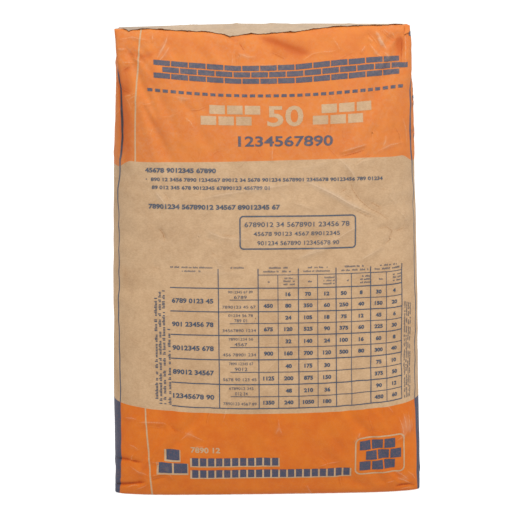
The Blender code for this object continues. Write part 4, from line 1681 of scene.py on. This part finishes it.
def make_laying_tree():
    inputs = [("Flat", MESH), ("Sack", OBJECT), ("Lift", FLOAT, 0.0003), ("Ink", MATERIAL)]
    tree, given, out = new_tree("lay_on_sack", "GeometryNodeTree", inputs, [("Mesh", MESH)])
    paper = node(tree, "GeometryNodeObjectInfo", {"Object": given["Sack"]}).outputs["Geometry"]
    sheet, fold = (
        node(tree, "GeometryNodeInputNamedAttribute", {"Name": name}, data_type=kind).outputs[0]
        for name, kind in (("sheet", "FLOAT_VECTOR"), ("fold", "FLOAT"))
    )
    here = node(tree, "GeometryNodeInputPosition").outputs[0]
    normal = node(tree, "GeometryNodeInputNormal").outputs[0]
    found = []
    for field, kind in ((here, "FLOAT_VECTOR"), (normal, "FLOAT_VECTOR"), (fold, "FLOAT")):
        sample = node(tree, "GeometryNodeSampleUVSurface", {
            "Mesh": paper, "Value": field, "Source UV Map": sheet, "Sample UV": here
        }, data_type=kind)
        found.append(sample.outputs[0])
    sack_place, sack_normal, sack_fold = found
    within = sample.outputs["Is Valid"]
    beyond = node(tree, "FunctionNodeBooleanMath", {0: within}, operation="NOT").outputs[0]
    outside = {"Geometry": given["Flat"], "Selection": beyond}
    kept = node(tree, "GeometryNodeDeleteGeometry", outside).outputs[0]
    to_square = {0: here, 1: INK_SQUARE, 2: (0.5, 0.0, 0.0)}
    square = node(tree, "ShaderNodeVectorMath", to_square, operation="MULTIPLY_ADD").outputs[0]
    kept = stored(tree, kept, "sheet", here, "FLOAT2", "CORNER")
    kept = stored(tree, kept, "fold", sack_fold, "FLOAT", "POINT")
    kept = stored(tree, kept, BAKE_MAP, square, "FLOAT2", "CORNER")
    off = plus(tree, given["Lift"], parts_of(tree, here)["Z"])
    target = shifted(tree, sack_place, scaled(tree, sack_normal, off))
    laid = node(tree, "GeometryNodeSetPosition", {"Geometry": kept, "Position": target}).outputs[0]
    feed(tree, out["Mesh"], in_ink(tree, realized(tree, laid), given["Ink"]))
    return tree


LAY_ON_SACK = make_laying_tree()


def lay(name, flat, lift, ink):
    mesh = grown(LAY_ON_SACK, flat, Sack=sack, Lift=lift, Ink=ink)
    mesh.shade_smooth()
    piece = in_scene(name, mesh)
    return piece


# ribbons of rubbed wear, painted highlight and painted shade along the creases
rubs_and_shades = lay("rubbed_creases", flat_rubs_and_shades, INK_LIFT["rubs_and_shades"], printed_paper)
bare_print = lay("bare_print", flat_bare, INK_LIFT["bare"], bare_figures)
navy_print = lay("navy_print", flat_navy, INK_LIFT["navy"], navy_ink)
ear = lay("corner_ear", flat_ear, INK_LIFT["rubs_and_shades"], printed_paper)
for piece in (rubs_and_shades, bare_print, navy_print, ear):
    print("laid", piece.name, len(piece.data.polygons), "faces", [round(x, 3) for x in piece.dimensions])

# %% [markdown]
# The cover strips. Each end is folded shut and a strip of pale paper is pasted over the folds.
# The top one was cut by hand: its front edge wanders, hangs over the fold by a millimetre or
# more, and has come loose there, so it throws a thin shadow. The strip follows lines over the
# finished end from back to front and on down the wall, so it touches the sack everywhere else.

# %% Lines for the top strip
STRIP_COLUMNS = 460
STRIP_FROM, STRIP_TO = 0.001, 0.988  # share of the width, from the left, that the strip covers
STRIP_LINES_BEHIND, STRIP_LINES_FRONT, STRIP_FRONT_PART = 20, 16, 0.007
STRIP_ROWS_DOWN = 7  # rows of the wall that the lines run on over
BACK_MARGIN = 0.0025
# Share from -1 to 1 across, and millimetres by which the front edge hangs over the fold there
OVERHANG = ((-1.0, 1.2), (-0.965, 3.4), (-0.95, 4.6), (-0.93, 2.4), (-0.9, 1.1), (-0.8, 0.5), (-0.7, 0.9),
            (-0.6, 1.0), (-0.5, 1.0), (-0.4, 0.8), (-0.3, 2.3), (-0.265, 4.0), (-0.245, 5.8),
            (-0.225, 4.2), (-0.2, 3.1), (-0.1, 0.8), (0.0, 0.9), (0.1, 0.6), (0.17, 0.7), (0.2, 1.9),
            (0.22, 0.9), (0.3, 0.8), (0.4, 0.6), (0.5, 0.5), (0.6, 0.7), (0.7, 0.4), (0.8, 0.9),
            (0.9, 0.4), (1.0, 0.3))
STRIP_LIFT, STRIP_CURL, CURL_REACH, STRIP_THICK = 0.0003, 0.0010, 0.0055, 0.0004
CURL_LEAST, CURL_WAVER, WAVER_RATE = 0.8, 0.4, 43.0  # how the loose edge's curl comes and goes
SUNKEN = 0.6  # share of its lift that the strip gives up in a hollow
# Metres across, slant, height in millimetres and width in millimetres
STRIP_CREASES = ((-0.052, 0.2, 0.8, 3.0), (-0.044, 0.1, -0.7, 3.0), (-0.024, -0.3, 0.9, 4.0),
                 (0.028, -0.4, 0.9, 4.0), (-0.150, 0.9, 0.7, 4.0), (0.095, 0.3, 0.6, 4.0),
                 (0.150, -0.5, -0.6, 4.0), (-0.105, -0.2, 0.5, 4.0))
# Height in metres, and rate and start of the waves that a hand-cut edge wanders by
WANDER, WANDER_WAVES = 0.00022, ((1.0, 91.0, 0.0), (0.7, 237.0, 1.0), (0.5, 523.0, 0.0))


def strip_paths():
    """Fine columns of places from the back fold over the end, the front fold and down the front wall."""
    wall, cap = GRIDS[0][0], GRIDS[2][0]
    first = STEPS_ACROSS // 2 + STEPS_DEEP
    down = wall[-2 : -2 - STRIP_ROWS_DOWN : -1, first : first + STEPS_ACROSS + 1]
    coarse = np.concatenate([cap[::-1], down])
    columns = np.linspace(STRIP_FROM, STRIP_TO, STRIP_COLUMNS + 1) * STEPS_ACROSS
    left = np.minimum(columns.astype(int), STEPS_ACROSS - 1)
    paths = blend(coarse[:, left], coarse[:, left + 1], (columns - left)[None, :, None])
    return columns / STEPS_ACROSS * 2.0 - 1.0, paths


def ragged(across):
    """The fine wander of a hand-cut edge, in metres."""
    return WANDER * sum(share * np.sin(rate * across + start) for share, rate, start in WANDER_WAVES)


def strip_grid():
    """The strip's places, and its flat coordinates: metres across, and metres from its front edge."""
    across, paths = strip_paths()
    overhang = np.interp(across, *zip(*OVERHANG)) / 1000 + ragged(across)
    steps = np.linalg.norm(np.diff(paths, axis=0), axis=2)
    lengths = np.concatenate([np.zeros((1, paths.shape[1])), np.cumsum(steps, axis=0)])
    lengths -= lengths[STEPS_DEEP]
    grid, from_edge = [], []
    for column, edge in enumerate(overhang):
        behind = np.linspace(lengths[0, column] + BACK_MARGIN, -STRIP_FRONT_PART, STRIP_LINES_BEHIND)
        at = np.concatenate([behind, np.linspace(-STRIP_FRONT_PART, edge, STRIP_LINES_FRONT)[1:]])
        grid.append([np.interp(at, lengths[:, column], paths[:, column, axis]) for axis in range(3)])
        from_edge.append(edge - at)
    places, from_edge = np.array(grid).transpose(2, 0, 1), np.array(from_edge).T
    normals = np.cross(np.gradient(places, axis=1), -np.gradient(places, axis=0))
    normals /= np.linalg.norm(normals, axis=2, keepdims=True)
    curled = 1.0 - smooth(from_edge, 0.0, CURL_REACH)
    lift = STRIP_LIFT + STRIP_CURL * curled * (CURL_LEAST + CURL_WAVER * np.sin(WAVER_RATE * across))
    for at, slant, height, width in STRIP_CREASES:
        away = np.abs(places[..., 0] - at - slant * (places[..., 1] + TOP_DEPTH / 2)) * 1000
        lift += np.maximum(height, 0.0) / 1000 * np.exp(-away / width)
        lift += STRIP_LIFT * SUNKEN * np.sign(height) * np.exp(-away / width) * (height < 0.0)
    return places + normals * lift[..., None], np.stack([places[..., 0], from_edge], axis=-1)


def paper_strip(name, grid, flat, thickness):
    """A grid of places as a sheet with a thickness, its flat coordinates in the UV map 'strip'."""
    mesh = bpy.data.meshes.new(name)
    faces = grid_faces(*grid.shape[:2])
    mesh.from_pydata(grid.reshape(-1, 3).tolist(), [], faces.tolist())
    uv = mesh.uv_layers.new(name="strip")
    uv.data.foreach_set("uv", flat.reshape(-1, 2)[faces.ravel()].astype(np.float32).ravel())
    piece = in_scene(name, mesh)
    wall = piece.modifiers.new("Paper thickness", "SOLIDIFY")
    wall.thickness, wall.offset = thickness, 1.0
    solid = bpy.data.meshes.new_from_object(piece.evaluated_get(bpy.context.evaluated_depsgraph_get()))
    piece.modifiers.clear()
    piece.data = solid
    solid.shade_smooth()
    solid.set_sharp_from_angle(angle=math.radians(50))
    bpy.data.meshes.remove(mesh)
    return piece


top_cover = paper_strip("top_cover_strip", *strip_grid(), STRIP_THICK)
print("top strip:", len(top_cover.data.polygons), "faces", [round(x, 3) for x in top_cover.dimensions])

# %% [markdown]
# The lower strip lies flat between the sack and the floor. It is the same paper, cut a little
# smaller than the end, and it is seen only when the sack is lifted or laid down.

# %% The bottom strip
BOTTOM_MARGIN = 0.003
BOTTOM_UPPER_FACE, BOTTOM_THICK = 0.0010, 0.0008


def bottom_grid():
    grid = GRIDS[1][0][::-1].copy()
    half_width, half_depth = np.abs(grid[..., 0]).max(), np.abs(grid[..., 1]).max()
    deep = grid[..., 1] / half_depth
    wander = ragged(grid[..., 0] / half_width) * np.abs(deep)
    grid[..., 0] *= 1.0 - BOTTOM_MARGIN / half_width
    grid[..., 1] = deep * (half_depth - BOTTOM_MARGIN + wander)
    grid[..., 2] = BOTTOM_UPPER_FACE
    from_edge = half_depth - BOTTOM_MARGIN - np.abs(grid[..., 1])
    return grid, np.stack([grid[..., 0], from_edge], axis=-1)


bottom_cover = paper_strip("bottom_cover_strip", *bottom_grid(), BOTTOM_THICK)
measures = [round(x, 3) for x in bottom_cover.dimensions]
print("bottom strip:", len(bottom_cover.data.polygons), "faces", measures)

# %% [markdown]
# The strips' paper is paler than the tube's and has no ink. Its cut edge is painted dark brown,
# partly as raw fibre and partly as painted shadow along the edge, and cement that sifted out of the
# valve greys it in clouds.

# %% Material of the cover strips
COVER_GROUND, COVER_FIBRE = linear(188, 165, 139), linear(174, 149, 122)
COVER_GREY, EDGE_AND_SHADOW_COLOUR = linear(142, 130, 120), linear(104, 64, 38)
EDGE_AND_SHADOW_WIDTH = 0.0006
DUSTY_END, CLEAN_FROM = -0.185, -0.120  # across, the valve end is grey and fades to clean paper
GREY_CLOUDS, GREY_SHARE, VALVE_GREY = (24.0, 4.0, 0.7), 0.32, 0.5
EDGE_FIBRES = (600.0, 2.0)
COVER_ROUGHNESS = 0.85
COVER_RELIEF = (30.0, (0.003, 0.20), (0.0004, 0.4))  # as for the tube's paper


def make_cover_material():
    material = bpy.data.materials.new("cover_strip_paper")
    material.use_nodes = True
    tree = material.node_tree
    shader = tree.nodes["Principled BSDF"]
    place = node(tree, "ShaderNodeTexCoord").outputs["Object"]
    flat = node(tree, "ShaderNodeUVMap", uv_map="strip").outputs["UV"]
    across, from_edge, _ = parts_of(tree, flat)
    kraft = use(tree, KRAFT, Place=place, Ground=COVER_GROUND, Fibre=COVER_FIBRE)
    grey = times(tree, step_up(tree, noise(tree, place, *GREY_CLOUDS), 0.50, 0.72), GREY_SHARE)
    valve_end = times(tree, step_up(tree, across, CLEAN_FROM, DUSTY_END), VALVE_GREY)
    colour = mixed(tree, plus(tree, grey, valve_end, clamp=True), kraft["Color"], COVER_GREY)
    # a dark brown band along the cut edge: raw fibre and painted shadow
    fibres = noise(tree, place, *EDGE_FIBRES)
    rough_edge = times_plus(tree, fibres, EDGE_AND_SHADOW_WIDTH, EDGE_AND_SHADOW_WIDTH / 2)
    edge_and_shadow = sums(tree, "LESS_THAN", from_edge, rough_edge)
    feed(tree, shader.inputs["Base Color"], mixed(tree, edge_and_shadow, colour, EDGE_AND_SHADOW_COLOUR))
    shader.inputs["Roughness"].default_value = COVER_ROUGHNESS
    give_relief(tree, shader, place, kraft["Height"], COVER_RELIEF)
    return material


cover_paper = make_cover_material()
for strip in (top_cover, bottom_cover):
    strip.data.materials.append(cover_paper)
print("cover material:", cover_paper.name)

# %% [markdown]
# Last, every piece rides on the sack's one body, since nothing moves. The paper sack and the two
# strips stand for the measured solids sack, top_strip and bottom_strip, which are hidden.

for piece in (sack, rubs_and_shades, bare_print, navy_print, ear):
    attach(piece, "root")
for piece, solid in ((top_cover, "top_strip"), (bottom_cover, "bottom_strip")):
    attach(piece, "root")
    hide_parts(solid)
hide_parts("sack")
